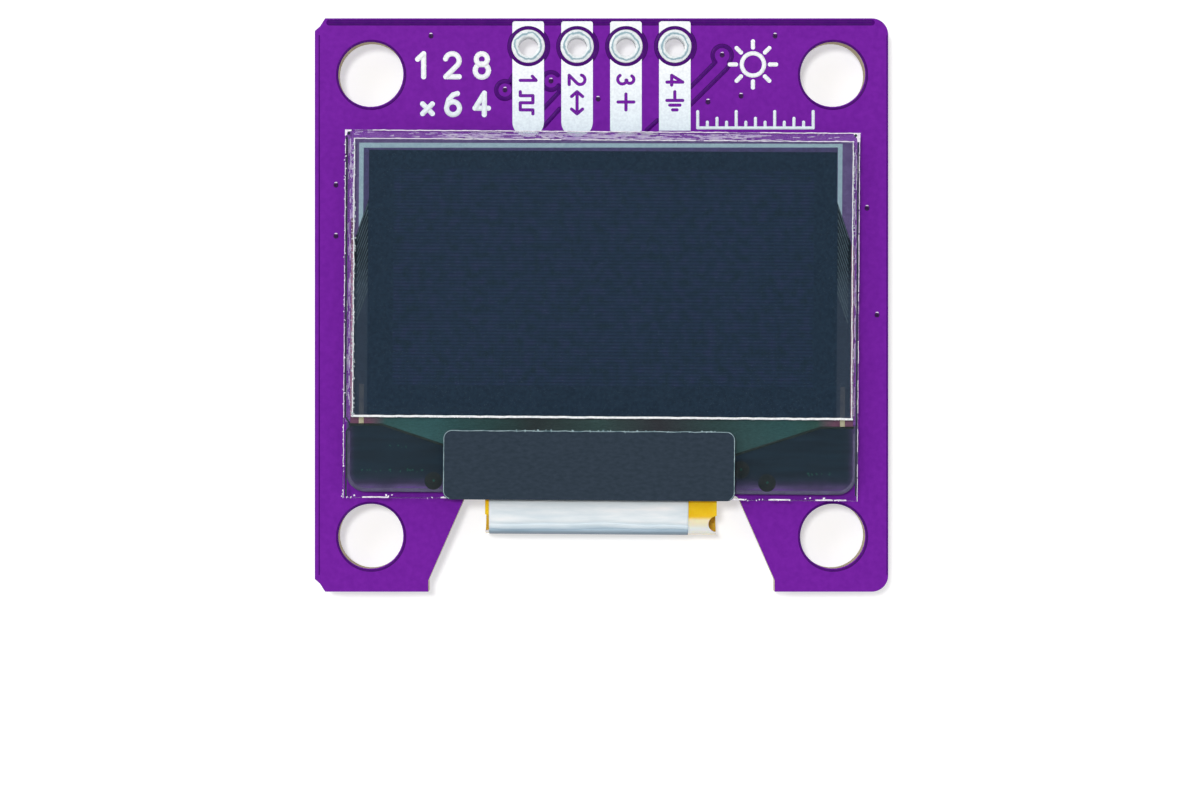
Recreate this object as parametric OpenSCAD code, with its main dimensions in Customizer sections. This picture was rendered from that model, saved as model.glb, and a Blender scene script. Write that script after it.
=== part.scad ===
// Small square display module. A bare glass display is taped to a circuit board,
// and its flexible tail folds through a notch and is soldered to the back.
// Millimetres. The origin is the centre of the four mounting holes, on the board's
// rear face. +Z points out of the display, and +Y towards the row of header holes.

/* [Board] */
// Width of the board
board_w = 29.8; // [29.4:0.1:34]
// Height of the board
board_h = 29.8; // [29.4:0.1:34]
// Thickness of the board
board_t = 1.6; // [0.8:0.1:2.4]
// Radius of the two whole corners
corner_r = 0.85; // [0.3:0.05:1.5]
// Size of the splinters broken from the two left corners
splinter = 0.6; // [0.2:0.05:0.9]

/* [Mounting holes] */
// Distance from the board's side edges to the middle of a mounting hole
mount_side_inset = 2.9; // [2.4:0.05:3.6]
// Distance from the board's top and bottom edges to the middle of a mounting hole
mount_end_inset = 2.9; // [2.4:0.05:3.6]
// Radius of a mounting hole
mount_hole_r = 1.7; // [1:0.05:1.8]

/* [Header holes] */
// Distance between the header holes
pin_pitch = 2.54; // [2.4:0.01:2.8]
// Distance from the board's top edge to the row of header holes
pin_row_inset = 1.45; // [1.3:0.05:1.8]
// Radius of a header hole, inside its plating
pin_hole_r = 0.51; // [0.4:0.01:0.6]
// Wall of the plating in a header hole
plating_t = 0.05; // [0.03:0.01:0.08]
// Outer radius of the ring of solder round a header hole
pin_ring_r = 0.875; // [0.8:0.005:0.95]
// Height of that ring
pin_ring_h = 0.06; // [0.03:0.01:0.12]

/* [Printed labels] */
// Width of the white bar printed under each header hole
label_w = 1.64; // [1.3:0.02:1.9]
// Distance from the board's top edge to the bars
label_top_inset = 0.16; // [0.1:0.02:0.35]
// How far the bars run in under the display's top edge
label_tuck = 0.23; // [0:0.01:0.6]
// Height of the point that marks one bar's lower end
label_point = 0.36; // [0.2:0.02:0.7]
// Thickness of the ink
ink_t = 0.02; // [0.01:0.005:0.05]
// Radius of the ring left bare round each header hole
label_ring_r = 1.05; // [1:0.01:1.15]

/* [Notch] */
// Depth of the notch in the board's lower edge
notch_depth = 5; // [4.6:0.1:5.6]
// Width of the notch at its root
notch_root_w = 14.14; // [13.4:0.02:14.6]
// Width of the notch at its mouth
notch_mouth_w = 18; // [16:0.1:18.2]
// Length of the notch's straight lips
notch_lip = 0.6; // [0.2:0.1:1.2]
// Radius in the notch's root corners
notch_corner_r = 0.4; // [0.2:0.05:0.8]

/* [Display glass] */
// Width of both sheets of glass
glass_w = 26.5; // [25:0.1:27]
// Height of the front sheet of glass
glass_h = 19; // [18:0.1:19.4]
// Thickness of the front sheet
front_glass_t = 0.7; // [0.5:0.05:1.1]
// Thickness of the rear sheet
rear_glass_t = 0.5; // [0.4:0.05:0.7]
// Height of the ledge that the rear sheet leaves bare
ledge_h = 3.89; // [3.7:0.01:4.4]
// How far the front sheet hangs over the notch
glass_overhang = 0.17; // [0:0.01:0.4]
// Distance from the board's middle to the glass's middle, to the right
panel_x = 0.04; // [-0.3:0.01:0.3]
// Turn of the display on the board, as it was stuck down
panel_turn = -0.4; // [-0.8:0.1:0.8]
// Thickness of the double-sided tape under the display
tape_t = 0.15; // [0.1:0.05:0.4]
// Distance from the edges of the rear glass to the tape
tape_inset = 2.2; // [1:0.1:4]

/* [Seal and films] */
// Width of the seal's bead
seal_band = 0.28; // [0.2:0.01:0.5]
// Thickness of the seal
seal_t = 0.05; // [0.04:0.01:0.1]
// Distance from the glass's side edges to the seal
seal_side_inset = 0.75; // [0.5:0.01:1]
// Distance from the glass's top edge to the seal
seal_top_inset = 0.58; // [0.4:0.01:1]
// Thickness of the light-emitting film and its traces
film_t = 0.02; // [0.01:0.005:0.03]
// Gap between the seal and the light-emitting film
film_margin = 0.08; // [0.02:0.01:0.2]
// Depth of the pocket in the rear glass
pocket_depth = 0.25; // [0.1:0.01:0.3]
// Distance from the seal to the pocket
pocket_margin = 0.6; // [0.3:0.05:1.5]
// Thickness of the drying sheet in the pocket
dryer_t = 0.15; // [0.05:0.01:0.2]
// Clearance round the drying sheet
dryer_gap = 0.8; // [0.2:0.1:2]
// Width of the polarizing film
polarizer_w = 25.7; // [23:0.05:26.2]
// Distance from the ledge's root up to the polarizing film
polarizer_lift = 0.3; // [0.1:0.01:0.6]
// Thickness of the polarizing film
polarizer_t = 0.2; // [0.1:0.02:0.3]
// Distance from the glass's middle to the polarizing film's, to the right
polarizer_x = 0.06; // [-0.1:0.01:0.1]
// Distance from the glass's top edge to the polarizing film
polarizer_top_inset = 0.46; // [0.3:0.01:0.6]

/* [Traces on the glass] */
// Where the side traces leave the light-emitting film, above the ledge
side_trace_start = 11.5; // [9:0.1:12.5]
// Height over which the side traces spread outwards
side_trace_fan = 2.5; // [1:0.1:4]
// Distance from the glass's side edges to the side traces
trace_inset = 0.25; // [0.1:0.01:0.4]
// Half of the width at which the traces cross onto the ledge
ledge_trace_half = 11.2; // [9:0.1:12]
// Half of the width to which they narrow beside the driver
driver_trace_half = 5.9; // [4.5:0.1:7]
// Depth on the ledge at which they have narrowed
driver_trace_drop = 1.83; // [1:0.01:2.2]

/* [Driver and ledge] */
// Length of the driver chip
driver_l = 6.8; // [5:0.1:8]
// Width of the driver chip
driver_w = 0.9; // [0.7:0.05:1]
// Thickness of the driver chip
driver_t = 0.3; // [0.15:0.01:0.32]
// Distance from the tail's bond to the driver chip
driver_gap = 0.14; // [0.05:0.01:0.4]
// Thickness of the dark sealant on the ledge
sealant_t = 0.4; // [0.36:0.02:0.48]
// Distance from the glass's lower edge to the sealant
sealant_inset = 0.43; // [0.2:0.01:0.6]
// Distance from the glass's side edges to the sealant
sealant_side_inset = 0.05; // [0.02:0.01:0.3]
// Radius of the sealant's lower corners
sealant_r = 0.9; // [0.4:0.05:1.5]
// Width of the light-shield tape in front of the driver
shield_w = 15.06; // [12:0.02:18]
// Height of the light-shield tape
shield_h = 3.59; // [3:0.01:3.7]
// Thickness of the light-shield tape
shield_t = 0.06; // [0.03:0.01:0.12]
// Radius of the light-shield tape's corners
shield_r = 0.42; // [0.2:0.02:0.8]
// Distance from the glass's middle to the light-shield tape's, to the right
shield_x = -0.63; // [-1:0.01:1]
// How far the light-shield tape hangs over the glass's edge
shield_overhang = 0.05; // [0:0.01:0.2]

/* [Flexible tail] */
// Width of the tail where it leaves the glass
tail_w = 12; // [11.4:0.1:12.4]
// Thickness of the tail
tail_t = 0.12; // [0.08:0.01:0.2]
// Length of the tail's bond to the glass
bond_l = 1.05; // [0.9:0.05:1.1]
// Straight length between the glass's edge and the fold
fold_reach = 0.625; // [0.4:0.025:1]
// Radius of the half-round relief cut in each side of the fold
relief_r = 0.42; // [0.2:0.02:0.5]
// Distance from the start of the fold to the middle of those cuts
relief_reach = 0.635; // [0.5:0.005:0.75]
// Width of the tail's foot, where it is soldered
foot_w = 19.4; // [18.8:0.1:20]
// Distance from the notch's root to the tail's end, under the board
tail_run = 6.4; // [6:0.1:7]
// Height of the tail's foot
foot_h = 4; // [3.6:0.1:4.2]
// Height of the shoulders between the tail's neck and foot
shoulder_h = 1.2; // [0.6:0.1:1.4]
// Thickness of the silvery tape round the fold
fold_tape_t = 0.04; // [0.02:0.01:0.1]
// Left edge of the silvery tape, from the tail's left edge
fold_tape_left = 0.2; // [0.1:0.05:1]
// Right edge of the silvery tape, from the tail's right edge
fold_tape_right = 1.47; // [0.5:0.01:2]
// How far the silvery tape runs on behind the board
fold_tape_run = 1.4; // [0.6:0.1:1.6]

/* [Tail contacts] */
// Distance between the tail's soldered contacts
contact_pitch = 0.62; // [0.58:0.005:0.635]
// Distance between the tail's conductors in its neck
neck_pitch = 0.33; // [0.28:0.005:0.34]
// Width of a conductor in the neck
neck_trace_w = 0.18; // [0.1:0.01:0.24]
// Width of a conductor in the foot
foot_trace_w = 0.3; // [0.2:0.01:0.34]
// Length of a conductor's straight ends
trace_straight = 0.35; // [0.2:0.05:0.6]
// Thickness of a conductor
trace_t = 0.02; // [0.01:0.005:0.04]
// Width of a soldered contact
joint_w = 0.36; // [0.3:0.01:0.42]
// Length of solder on the tail's foot
joint_l = 1.6; // [1:0.05:1.9]
// Height of that solder
joint_h = 0.1; // [0.05:0.01:0.2]
// Length of solder on the board's land, past the tail's end
joint_toe = 0.6; // [0.4:0.05:0.7]

/* [Parts behind the board] */
// Thickness of the copper lands
land_t = 0.035; // [0.02:0.005:0.07]
// Length of a small chip part
small_l = 1.6; // [1.4:0.05:1.7]
// Width of a small chip part
small_w = 0.8; // [0.6:0.05:0.9]
// Height of a small capacitor
capacitor_h = 0.8; // [0.5:0.05:0.95]
// Height of a small resistor
resistor_h = 0.45; // [0.35:0.05:0.6]
// Length of a small part's metal ends
terminal_l = 0.3; // [0.2:0.02:0.4]
// Thickness of that metal
terminal_t = 0.03; // [0.02:0.005:0.05]
// How far a land runs out past a part's end
land_toe = 0.35; // [0.25:0.05:0.5]
// Height of the moulded parts, on which the module rests
moulded_h = 1.1; // [1:0.02:1.3]
// Length of the transistor and regulator bodies
transistor_l = 2.9; // [2.6:0.05:3]
// Width of the transistor and regulator bodies
transistor_w = 1.3; // [1.2:0.05:1.4]
// Length of the diode's body
diode_l = 2.7; // [2.4:0.05:2.9]
// Width of the diode's body
diode_w = 1.6; // [1.4:0.05:1.7]
// Thickness of the moulded parts' leads
lead_t = 0.13; // [0.1:0.01:0.16]
// Width of a transistor's lead
lead_w = 0.4; // [0.3:0.02:0.5]
// Distance between a transistor's neighbouring leads
lead_pitch = 0.95; // [0.85:0.01:1]
// Distance from the notch's root up to the regulator and the diode
power_rise = 4.7; // [4:0.1:5.4]
// Distance from the header holes down to the shifter transistors
shifter_drop = 6; // [5:0.1:7]
// Distance from the board's middle to a shifter transistor
shifter_x = 6.4; // [5:0.1:8]
// Distance between the small parts that stand one over another
side_pitch = 3.6; // [3:0.1:4]
// Distance from the tail's lands to the row of small parts
row_gap = 0.7; // [0.5:0.05:1]
// Distance between the small parts in that row
row_pitch = 2.4; // [2.1:0.05:2.5]

/* [Hidden] */
$fn = 48;
// How far a cutting solid runs past the surface that it cuts
past = 0.2;

PIN_COUNT = 4;
CONTACT_COUNT = 30;
CAPACITOR_COUNT = 7;
RESISTOR_COUNT = 6;

// Levels, from the board's rear face at 0 up to the front of the display
rear_glass_z = board_t + tape_t;
seal_z = rear_glass_z + rear_glass_t;
front_glass_z = seal_z + seal_t;
front_z = front_glass_z + front_glass_t;

// The board's holes, top edge, header row and notch
mount_x = board_w / 2 - mount_side_inset;
mount_y = board_h / 2 - mount_end_inset;
top_edge = board_h / 2;
pin_row_y = top_edge - pin_row_inset;
notch_y = notch_depth - board_h / 2;
notch_slant_h = notch_depth - notch_lip;
notch_slant = atan2(notch_slant_h, (notch_mouth_w - notch_root_w) / 2);

// The display's own frame: its origin is the middle of the front glass
panel_y = notch_y - glass_overhang + glass_h / 2;
glass_edge = -glass_h / 2;
rear_glass_h = glass_h - ledge_h;
ledge_root = glass_edge + ledge_h;
seal_w = glass_w - 2 * seal_side_inset;
seal_top = glass_h / 2 - seal_top_inset;
film_half = seal_w / 2 - seal_band - film_margin;
film_top = seal_top - seal_band - film_margin;
film_bottom = ledge_root + seal_band + film_margin;
bond_y = glass_edge + bond_l;
driver_bottom = bond_y + driver_gap;

// The tail's fold, from the ledge's underside to the board's rear face
fold_r = (front_glass_z + tail_t) / 2;
fold_z = front_glass_z - fold_r;
fold_y = glass_edge - fold_reach;
tail_end = glass_edge + glass_overhang + tail_run;
foot_root = tail_end - foot_h;
neck_x = -(fold_tape_right - fold_tape_left) / 2;
tape_gap = 0.02;

// Where the parts behind the board stand: x, y and turn
row_y = panel_y + tail_end + joint_toe + row_gap + small_l / 2 + land_toe;
side_x = (board_w + foot_w) / 4;
upper_y = pin_row_y - shifter_drop;
lower_y = notch_y + power_rise;
CAPACITORS = [
    [-3.5 * row_pitch, row_y, 90],
    [-2.5 * row_pitch, row_y, 90],
    [-0.5 * row_pitch, row_y, 90],
    [0.5 * row_pitch, row_y, 90],
    [2.5 * row_pitch, row_y, 90],
    [side_x, row_y, 90],
    [side_x, row_y + side_pitch, 90]
];
RESISTORS = [
    [-1.5 * row_pitch, row_y, 90],
    [1.5 * row_pitch, row_y, 90],
    [3.5 * row_pitch, row_y, 90],
    [-pin_pitch / 2, upper_y, 90],
    [pin_pitch / 2, upper_y, 90],
    [-side_x, row_y, 90]
];
SPARE_PLACE = [-side_x, row_y + side_pitch, 90];
REGULATOR = [side_x, lower_y, 90];
SHIFTERS = [[-shifter_x, upper_y, 0], [shifter_x, upper_y, 0]];
DIODE = [-side_x, lower_y, 90];

// Moulded parts and their leads
standoff = 0.06;
draft = 0.08;
parting_z = moulded_h / 2;
lead_out = 0.15;
lead_drop = 0.12;
lead_foot = 0.3;
diode_lead_w = 1.5 * lead_w;
transistor_reach = transistor_w / 2 + lead_out + lead_drop + lead_foot;
diode_reach = diode_l / 2 + lead_out + lead_drop + lead_foot;

// Lands: how far they run in under a part, and how much wider they are
land_under = 0.15;
land_spare = 0.1;
fillet_spare = 0.03;

// ---- helpers ----

// A rectangle with round corners, centred on the origin.
module rounded_rectangle(w, h, r) {
    square([w - 2 * r, h], center = true);
    square([w, h - 2 * r], center = true);
    for (x = [-1, 1], y = [-1, 1])
        translate([x * (w / 2 - r), y * (h / 2 - r)])
            circle(r);
}

// Places its children in the display's own frame, turned as it was stuck down.
module on_panel() {
    translate([panel_x, panel_y, 0])
        rotate([0, 0, panel_turn])
            children();
}

// Places a part, drawn standing on z = 0, upside down on a land behind the board.
module behind(place) {
    translate([place[0], place[1], -land_t])
        rotate([180, 0, place[2]])
            children();
}

// Extrudes a side view, drawn as (y, z), across the width w about x.
module across(w, x = 0) {
    translate([x, 0, 0])
        rotate([90, 0, 90])
            linear_extrude(w, center = true)
                children();
}

// ---- board ----

// The notch that the tail folds through, with round root corners.
module notch_outline() {
    root = notch_y;
    lip = notch_y - notch_slant_h;
    below = -board_h / 2 - past;
    // A root corner's arc touches the root, and the slanting side at foot
    run = notch_corner_r * tan(notch_slant / 2);
    foot = run * [cos(notch_slant), sin(notch_slant)];
    polygon([
        [-notch_mouth_w / 2, below],
        [notch_mouth_w / 2, below],
        [notch_mouth_w / 2, lip],
        [notch_root_w / 2 + foot[0], root - foot[1]],
        [notch_root_w / 2 - run, root],
        [-notch_root_w / 2 + run, root],
        [-notch_root_w / 2 - foot[0], root - foot[1]],
        [-notch_mouth_w / 2, lip]
    ]);
    for (side = [-1, 1])
        translate([side * (notch_root_w / 2 - run), root - notch_corner_r])
            circle(notch_corner_r);
}

// A splinter broken out of a left corner: y is 1 at the top and -1 at the bottom.
module splinter_outline(y) {
    translate([-board_w / 2, y * board_h / 2])
        polygon([
            [-past, y * past],
            [0.9 * splinter, y * past],
            [0.9 * splinter, 0],
            [0.45 * splinter, -y * 0.7 * splinter],
            [0, -y * 1.1 * splinter],
            [-past, -y * 1.1 * splinter]
        ]);
}

module board_outline() {
    difference() {
        union() {
            translate([-corner_r / 2, 0])
                square([board_w - corner_r, board_h], center = true);
            square([board_w, board_h - 2 * corner_r], center = true);
            for (y = [-1, 1])
                translate([board_w / 2 - corner_r, y * (board_h / 2 - corner_r)])
                    circle(corner_r);
        }
        for (y = [-1, 1])
            splinter_outline(y);
        notch_outline();
    }
}

function pin_x(i) = (i - (PIN_COUNT + 1) / 2) * pin_pitch;

module circuit_board() {
    color("#75249f")
        difference() {
            linear_extrude(board_t)
                board_outline();
            for (x = [-1, 1], y = [-1, 1])
                translate([x * mount_x, y * mount_y, -past])
                    cylinder(r = mount_hole_r, h = board_t + 2 * past);
            for (i = [1 : PIN_COUNT])
                translate([pin_x(i), pin_row_y, -past])
                    cylinder(r = pin_hole_r + plating_t, h = board_t + 2 * past);
        }
}

// A bar with a round, pointed or square lower end, which tells the holes apart.
module label_bar(kind) {
    half = label_w / 2;
    end_h = kind == "round" ? half : label_point;
    top = top_edge - label_top_inset;
    bottom = panel_y + glass_h / 2 - label_tuck;
    difference() {
        union() {
            translate([-half, bottom + end_h])
                square([label_w, top - bottom - end_h]);
            if (kind == "round")
                translate([0, bottom + half])
                    circle(half);
            if (kind == "pointed")
                translate([0, bottom])
                    polygon([[-half, end_h], [0, 0], [half, end_h]]);
        }
        translate([0, pin_row_y])
            circle(label_ring_r);
    }
}

module pin_label_bars() {
    kinds = ["round", "round", "pointed", "square"];
    color("white")
        translate([0, 0, board_t])
            for (i = [1 : PIN_COUNT])
                translate([pin_x(i), 0, 0])
                    linear_extrude(ink_t)
                        label_bar(kinds[i - 1]);
}

// Section of a ring of solder: a low dome, steeper at the hole than at the rim.
module ring_section() {
    w = pin_ring_r - pin_hole_r;
    translate([pin_hole_r, 0])
        polygon([
            [0, 0], [0, 0.5 * pin_ring_h], [0.2 * w, 0.9 * pin_ring_h],
            [0.45 * w, pin_ring_h], [0.75 * w, 0.8 * pin_ring_h], [w, 0]
        ]);
}

// One plated hole: the plating in the board and a ring of solder on each face.
module plated_hole(i) {
    color("silver")
        translate([pin_x(i), pin_row_y, 0])
            rotate_extrude() {
                translate([pin_hole_r, 0])
                    square([plating_t, board_t]);
                translate([0, board_t])
                    ring_section();
                mirror([0, 1])
                    ring_section();
            }
}

// ---- display ----

// A plate centred across the glass, from one height to another.
module film(w, bottom, top, t, z) {
    translate([-w / 2, bottom, z])
        cube([w, top - bottom, t]);
}

module mounting_tape() {
    color("white")
        on_panel()
            film(glass_w - 2 * tape_inset, ledge_root + tape_inset,
                 glass_h / 2 - tape_inset, tape_t, board_t);
}

module pocket_film(inset, t, z) {
    film(seal_w - 2 * (seal_band + inset), ledge_root + seal_band + inset,
         seal_top - seal_band - inset, t, z);
}

module rear_glass() {
    color("lightblue", 0.5)
        on_panel()
            difference() {
                film(glass_w, ledge_root, glass_h / 2, rear_glass_t, rear_glass_z);
                pocket_film(pocket_margin, pocket_depth + past, seal_z - pocket_depth);
            }
}

module drying_sheet() {
    color("#555a60")
        on_panel()
            pocket_film(pocket_margin + dryer_gap, dryer_t, seal_z - pocket_depth);
}

module edge_seal() {
    color("#8fa8b4")
        on_panel()
            difference() {
                film(seal_w, ledge_root, seal_top, seal_t, seal_z);
                translate([0, 0, -past])
                    pocket_film(0, seal_t + 2 * past, seal_z);
                trace_layer();
            }
}

module pixel_film() {
    color("#233244")
        on_panel()
            film(2 * film_half, film_bottom, film_top, film_t, front_glass_z - film_t);
}

// Outline of the traces that run round the picture and gather at the driver.
module trace_outline() {
    outer = glass_w / 2 - trace_inset;
    start = ledge_root + side_trace_start;
    right = [
        [film_half, start],
        [outer, start - side_trace_fan],
        [outer, ledge_root],
        [ledge_trace_half, ledge_root],
        [driver_trace_half, ledge_root - driver_trace_drop],
        [driver_trace_half, bond_y]
    ];
    left = [for (i = [len(right) - 1 : -1 : 0]) [-right[i][0], right[i][1]]];
    difference() {
        polygon(concat(right, left));
        translate([-film_half, film_bottom])
            square([2 * film_half, film_top - film_bottom]);
        translate([-driver_l / 2, driver_bottom])
            square([driver_l, driver_w]);
    }
}

module trace_layer() {
    translate([0, 0, front_glass_z - film_t])
        linear_extrude(film_t)
            trace_outline();
}

module glass_traces() {
    color("#2c4a50")
        on_panel()
            trace_layer();
}

module front_glass() {
    color("lightcyan", 0.4)
        on_panel()
            film(glass_w, glass_edge, glass_h / 2, front_glass_t, front_glass_z);
}

module polarizer() {
    color("#2a3444", 0.8)
        on_panel()
            translate([polarizer_x, 0, 0])
                film(polarizer_w, ledge_root + polarizer_lift,
                     glass_h / 2 - polarizer_top_inset, polarizer_t, front_z);
}

module driver_body() {
    film(driver_l, driver_bottom, driver_bottom + driver_w, driver_t,
         front_glass_z - driver_t);
}

module driver_chip() {
    color("dimgray")
        on_panel()
            driver_body();
}

module sealant_outline() {
    half = glass_w / 2 - sealant_side_inset;
    bottom = glass_edge + sealant_inset;
    translate([-half, bottom + sealant_r])
        square([2 * half, ledge_root - bottom - sealant_r]);
    translate([-half + sealant_r, bottom])
        square([2 * (half - sealant_r), sealant_r]);
    for (side = [-1, 1])
        translate([side * (half - sealant_r), bottom + sealant_r])
            circle(sealant_r);
}

// The dark sealant under the ledge, round the driver chip and the tail's bond.
module ledge_sealant() {
    color("#22303c")
        on_panel()
            difference() {
                translate([0, 0, front_glass_z - sealant_t])
                    linear_extrude(sealant_t)
                        sealant_outline();
                trace_layer();
                driver_body();
                tail_neck();
            }
}

module light_shield() {
    middle = glass_edge - shield_overhang + shield_h / 2;
    color("#333e4a")
        on_panel()
            translate([shield_x, middle, front_z])
                linear_extrude(shield_t)
                    rounded_rectangle(shield_w, shield_h, shield_r);
}

// ---- tail ----

// Side view of the fold, as (y, z), for a layer from one radius to a larger one.
module fold_section(inner, outer) {
    translate([fold_y, fold_z])
        difference() {
            circle(outer);
            circle(inner);
            translate([0, -outer - past])
                square([outer + past, 2 * (outer + past)]);
        }
}

// Half-round cuts through the upper side of the fold, which relieve its edges.
module fold_reliefs() {
    for (x = [-tail_w / 2, tail_w / 2])
        translate([x, fold_y - relief_reach, fold_z])
            cylinder(r = relief_r, h = fold_r + past);
}

module tail_neck() {
    difference() {
        across(tail_w) {
            fold_section(fold_r - tail_t, fold_r);
            translate([fold_y, front_glass_z - tail_t])
                square([bond_y - fold_y, tail_t]);
            translate([fold_y, -tail_t])
                square([foot_root - fold_y, tail_t]);
        }
        fold_reliefs();
    }
}

module tail_foot() {
    translate([0, 0, -tail_t])
        linear_extrude(tail_t)
            polygon([
                [-tail_w / 2, foot_root - shoulder_h],
                [tail_w / 2, foot_root - shoulder_h],
                [foot_w / 2, foot_root],
                [foot_w / 2, tail_end],
                [-foot_w / 2, tail_end],
                [-foot_w / 2, foot_root]
            ]);
}

module flex_tail() {
    color("#f0b808")
        on_panel()
            union() {
                tail_neck();
                tail_foot();
            }
}

module fold_tape() {
    w = tail_w - fold_tape_left - fold_tape_right;
    color("#e2ebf1")
        on_panel()
            across(w, neck_x) {
                fold_section(fold_r, fold_r + fold_tape_t);
                translate([fold_y, front_glass_z])
                    square([glass_edge - tape_gap - fold_y, fold_tape_t]);
                translate([fold_y, -tail_t - fold_tape_t])
                    square([fold_tape_run, fold_tape_t]);
            }
}

function contact_x(i) = (i - (CONTACT_COUNT + 1) / 2) * contact_pitch;
function neck_trace_x(i) = neck_x + (i - (CONTACT_COUNT + 1) / 2) * neck_pitch;

// One copper conductor on the tail's rear face, from the fold tape to its contact.
// It fans out between two straight stretches.
module tail_conductor(i) {
    near = neck_trace_x(i);
    far = contact_x(i);
    a = neck_trace_w / 2;
    b = foot_trace_w / 2;
    start = fold_y + fold_tape_run;
    bend = start + trace_straight;
    spread = tail_end - joint_l - trace_straight;
    polygon([
        [near - a, start], [near + a, start], [near + a, bend],
        [far + b, spread], [far + b, tail_end - joint_l],
        [far - b, tail_end - joint_l], [far - b, spread], [near - a, bend]
    ]);
}

module tail_conductors() {
    color("#b87333")
        on_panel()
            translate([0, 0, -tail_t - trace_t])
                linear_extrude(trace_t)
                    for (i = [1 : CONTACT_COUNT])
                        tail_conductor(i);
}

// Side view of one soldered contact: over the tail's end and down onto its land.
module joint_section() {
    crown = tail_t + joint_h;
    polygon([
        [tail_end - joint_l, -tail_t],
        [tail_end, -tail_t],
        [tail_end, -land_t],
        [tail_end + joint_toe, -land_t],
        [tail_end + 0.4 * joint_toe, -land_t - 0.3 * crown],
        [tail_end, -0.9 * crown],
        [tail_end - 0.25 * joint_l, -crown],
        [tail_end - 0.8 * joint_l, -tail_t - 0.7 * joint_h]
    ]);
}

module tail_solder() {
    color("silver")
        on_panel()
            for (i = [1 : CONTACT_COUNT])
                across(joint_w, contact_x(i))
                    joint_section();
}

// ---- lands and solder behind the board ----

// Places its children at each end of a part, with x running outwards.
module both_ends() {
    for (turn = [0, 180])
        rotate([0, 0, turn])
            children();
}

// Places its children at a transistor's three feet, with x running outwards.
module three_feet() {
    rotate([0, 0, 90])
        children();
    for (x = [-lead_pitch, lead_pitch])
        translate([x, 0, 0])
            rotate([0, 0, -90])
                children();
}

// A land under a part that stands on z = 0, from x0 out to x1.
module land(x0, x1, w) {
    translate([x0, -w / 2, -land_t])
        cube([x1 - x0, w, land_t]);
}

module small_lands() {
    both_ends()
        land(small_l / 2 - terminal_l - land_under, small_l / 2 + land_toe,
             small_w + land_spare);
}

// A land under each of the tail's contacts, just past the tail's end.
module tail_lands() {
    first = panel_y + tail_end + land_spare;
    for (i = [1 : CONTACT_COUNT])
        translate([panel_x + contact_x(i) - joint_w / 2, first, -land_t])
            cube([joint_w, joint_toe + land_spare, land_t]);
}

module board_lands() {
    color("#c9ccd0") {
        for (place = concat(CAPACITORS, RESISTORS, [SPARE_PLACE]))
            behind(place)
                small_lands();
        for (place = concat(SHIFTERS, [REGULATOR]))
            behind(place)
                three_feet()
                    land(transistor_reach - lead_foot - land_under,
                         transistor_reach + lead_t + land_spare, lead_w + 2 * land_spare);
        behind(DIODE)
            both_ends()
                land(diode_reach - lead_foot - land_under,
                     diode_reach + lead_t + land_spare, diode_lead_w + 2 * land_spare);
        tail_lands();
    }
}

// A hollow fillet of solder against a face at x = 0, of leg r and width w.
module fillet(r, w) {
    rotate([90, 0, 0])
        linear_extrude(w, center = true)
            difference() {
                square(r);
                translate([r, r])
                    circle(r);
            }
}

module small_fillets(r) {
    both_ends()
        translate([small_l / 2, 0, 0])
            fillet(r, small_w);
}

module solder_fillets() {
    color("silver") {
        for (place = CAPACITORS)
            behind(place)
                small_fillets(land_toe - fillet_spare);
        for (place = RESISTORS)
            behind(place)
                small_fillets(land_toe - 2 * fillet_spare);
        for (place = concat(SHIFTERS, [REGULATOR]))
            behind(place)
                three_feet()
                    translate([transistor_reach, 0, 0])
                        fillet(lead_t, lead_w);
        behind(DIODE)
            both_ends()
                translate([diode_reach, 0, 0])
                    fillet(lead_t, diode_lead_w);
    }
}

// ---- parts behind the board ----

// Section of a moulded body: a narrow upright band, with draft above and below.
module moulded_section(w) {
    band = lead_t / 2;
    polygon([
        [-w / 2 + draft, standoff],
        [w / 2 - draft, standoff],
        [w / 2, parting_z - band],
        [w / 2, parting_z + band],
        [w / 2 - draft, moulded_h],
        [-w / 2 + draft, moulded_h],
        [-w / 2, parting_z + band],
        [-w / 2, parting_z - band]
    ]);
}

// A moulded body, drafted on all four sides, standing on z = 0.
module moulded_body(l, w) {
    color("#26262a")
        intersection() {
            rotate([90, 0, 0])
                linear_extrude(w + past, center = true)
                    moulded_section(l);
            rotate([90, 0, 90])
                linear_extrude(l + past, center = true)
                    moulded_section(w);
        }
}

// A lead bent like a gull's wing, running out along x from a body of this width.
module gull_lead(body_w, w) {
    root = body_w / 2;
    knee = root + lead_out;
    toe = knee + lead_drop + lead_foot;
    band = lead_t / 2;
    color("silver")
        rotate([90, 0, 0])
            linear_extrude(w, center = true)
                polygon([
                    [root, parting_z - band],
                    [knee - lead_t, parting_z - band],
                    [knee + lead_drop - lead_t, 0],
                    [toe, 0],
                    [toe, lead_t],
                    [knee + lead_drop, lead_t],
                    [knee, parting_z + band],
                    [root, parting_z + band]
                ]);
}

module transistor_body(place) {
    behind(place)
        moulded_body(transistor_l, transistor_w);
}

module transistor_leads(place) {
    behind(place)
        three_feet()
            gull_lead(transistor_w, lead_w);
}

module diode_body() {
    behind(DIODE)
        moulded_body(diode_l, diode_w);
}

module diode_leads() {
    behind(DIODE)
        both_ends()
            gull_lead(diode_l, diode_lead_w);
}

// The ceramic block of a chip part, inside the metal of its ends.
module chip_block(h) {
    t = terminal_t;
    translate([-small_l / 2 + t, -small_w / 2 + t, t])
        cube([small_l - 2 * t, small_w - 2 * t, h - 2 * t]);
}

// The two metal cups that close over the ends of a chip part.
module chip_ends(h) {
    color("silver")
        difference() {
            both_ends()
                translate([small_l / 2 - terminal_l, -small_w / 2, 0])
                    cube([terminal_l, small_w, h]);
            chip_block(h);
        }
}

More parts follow.
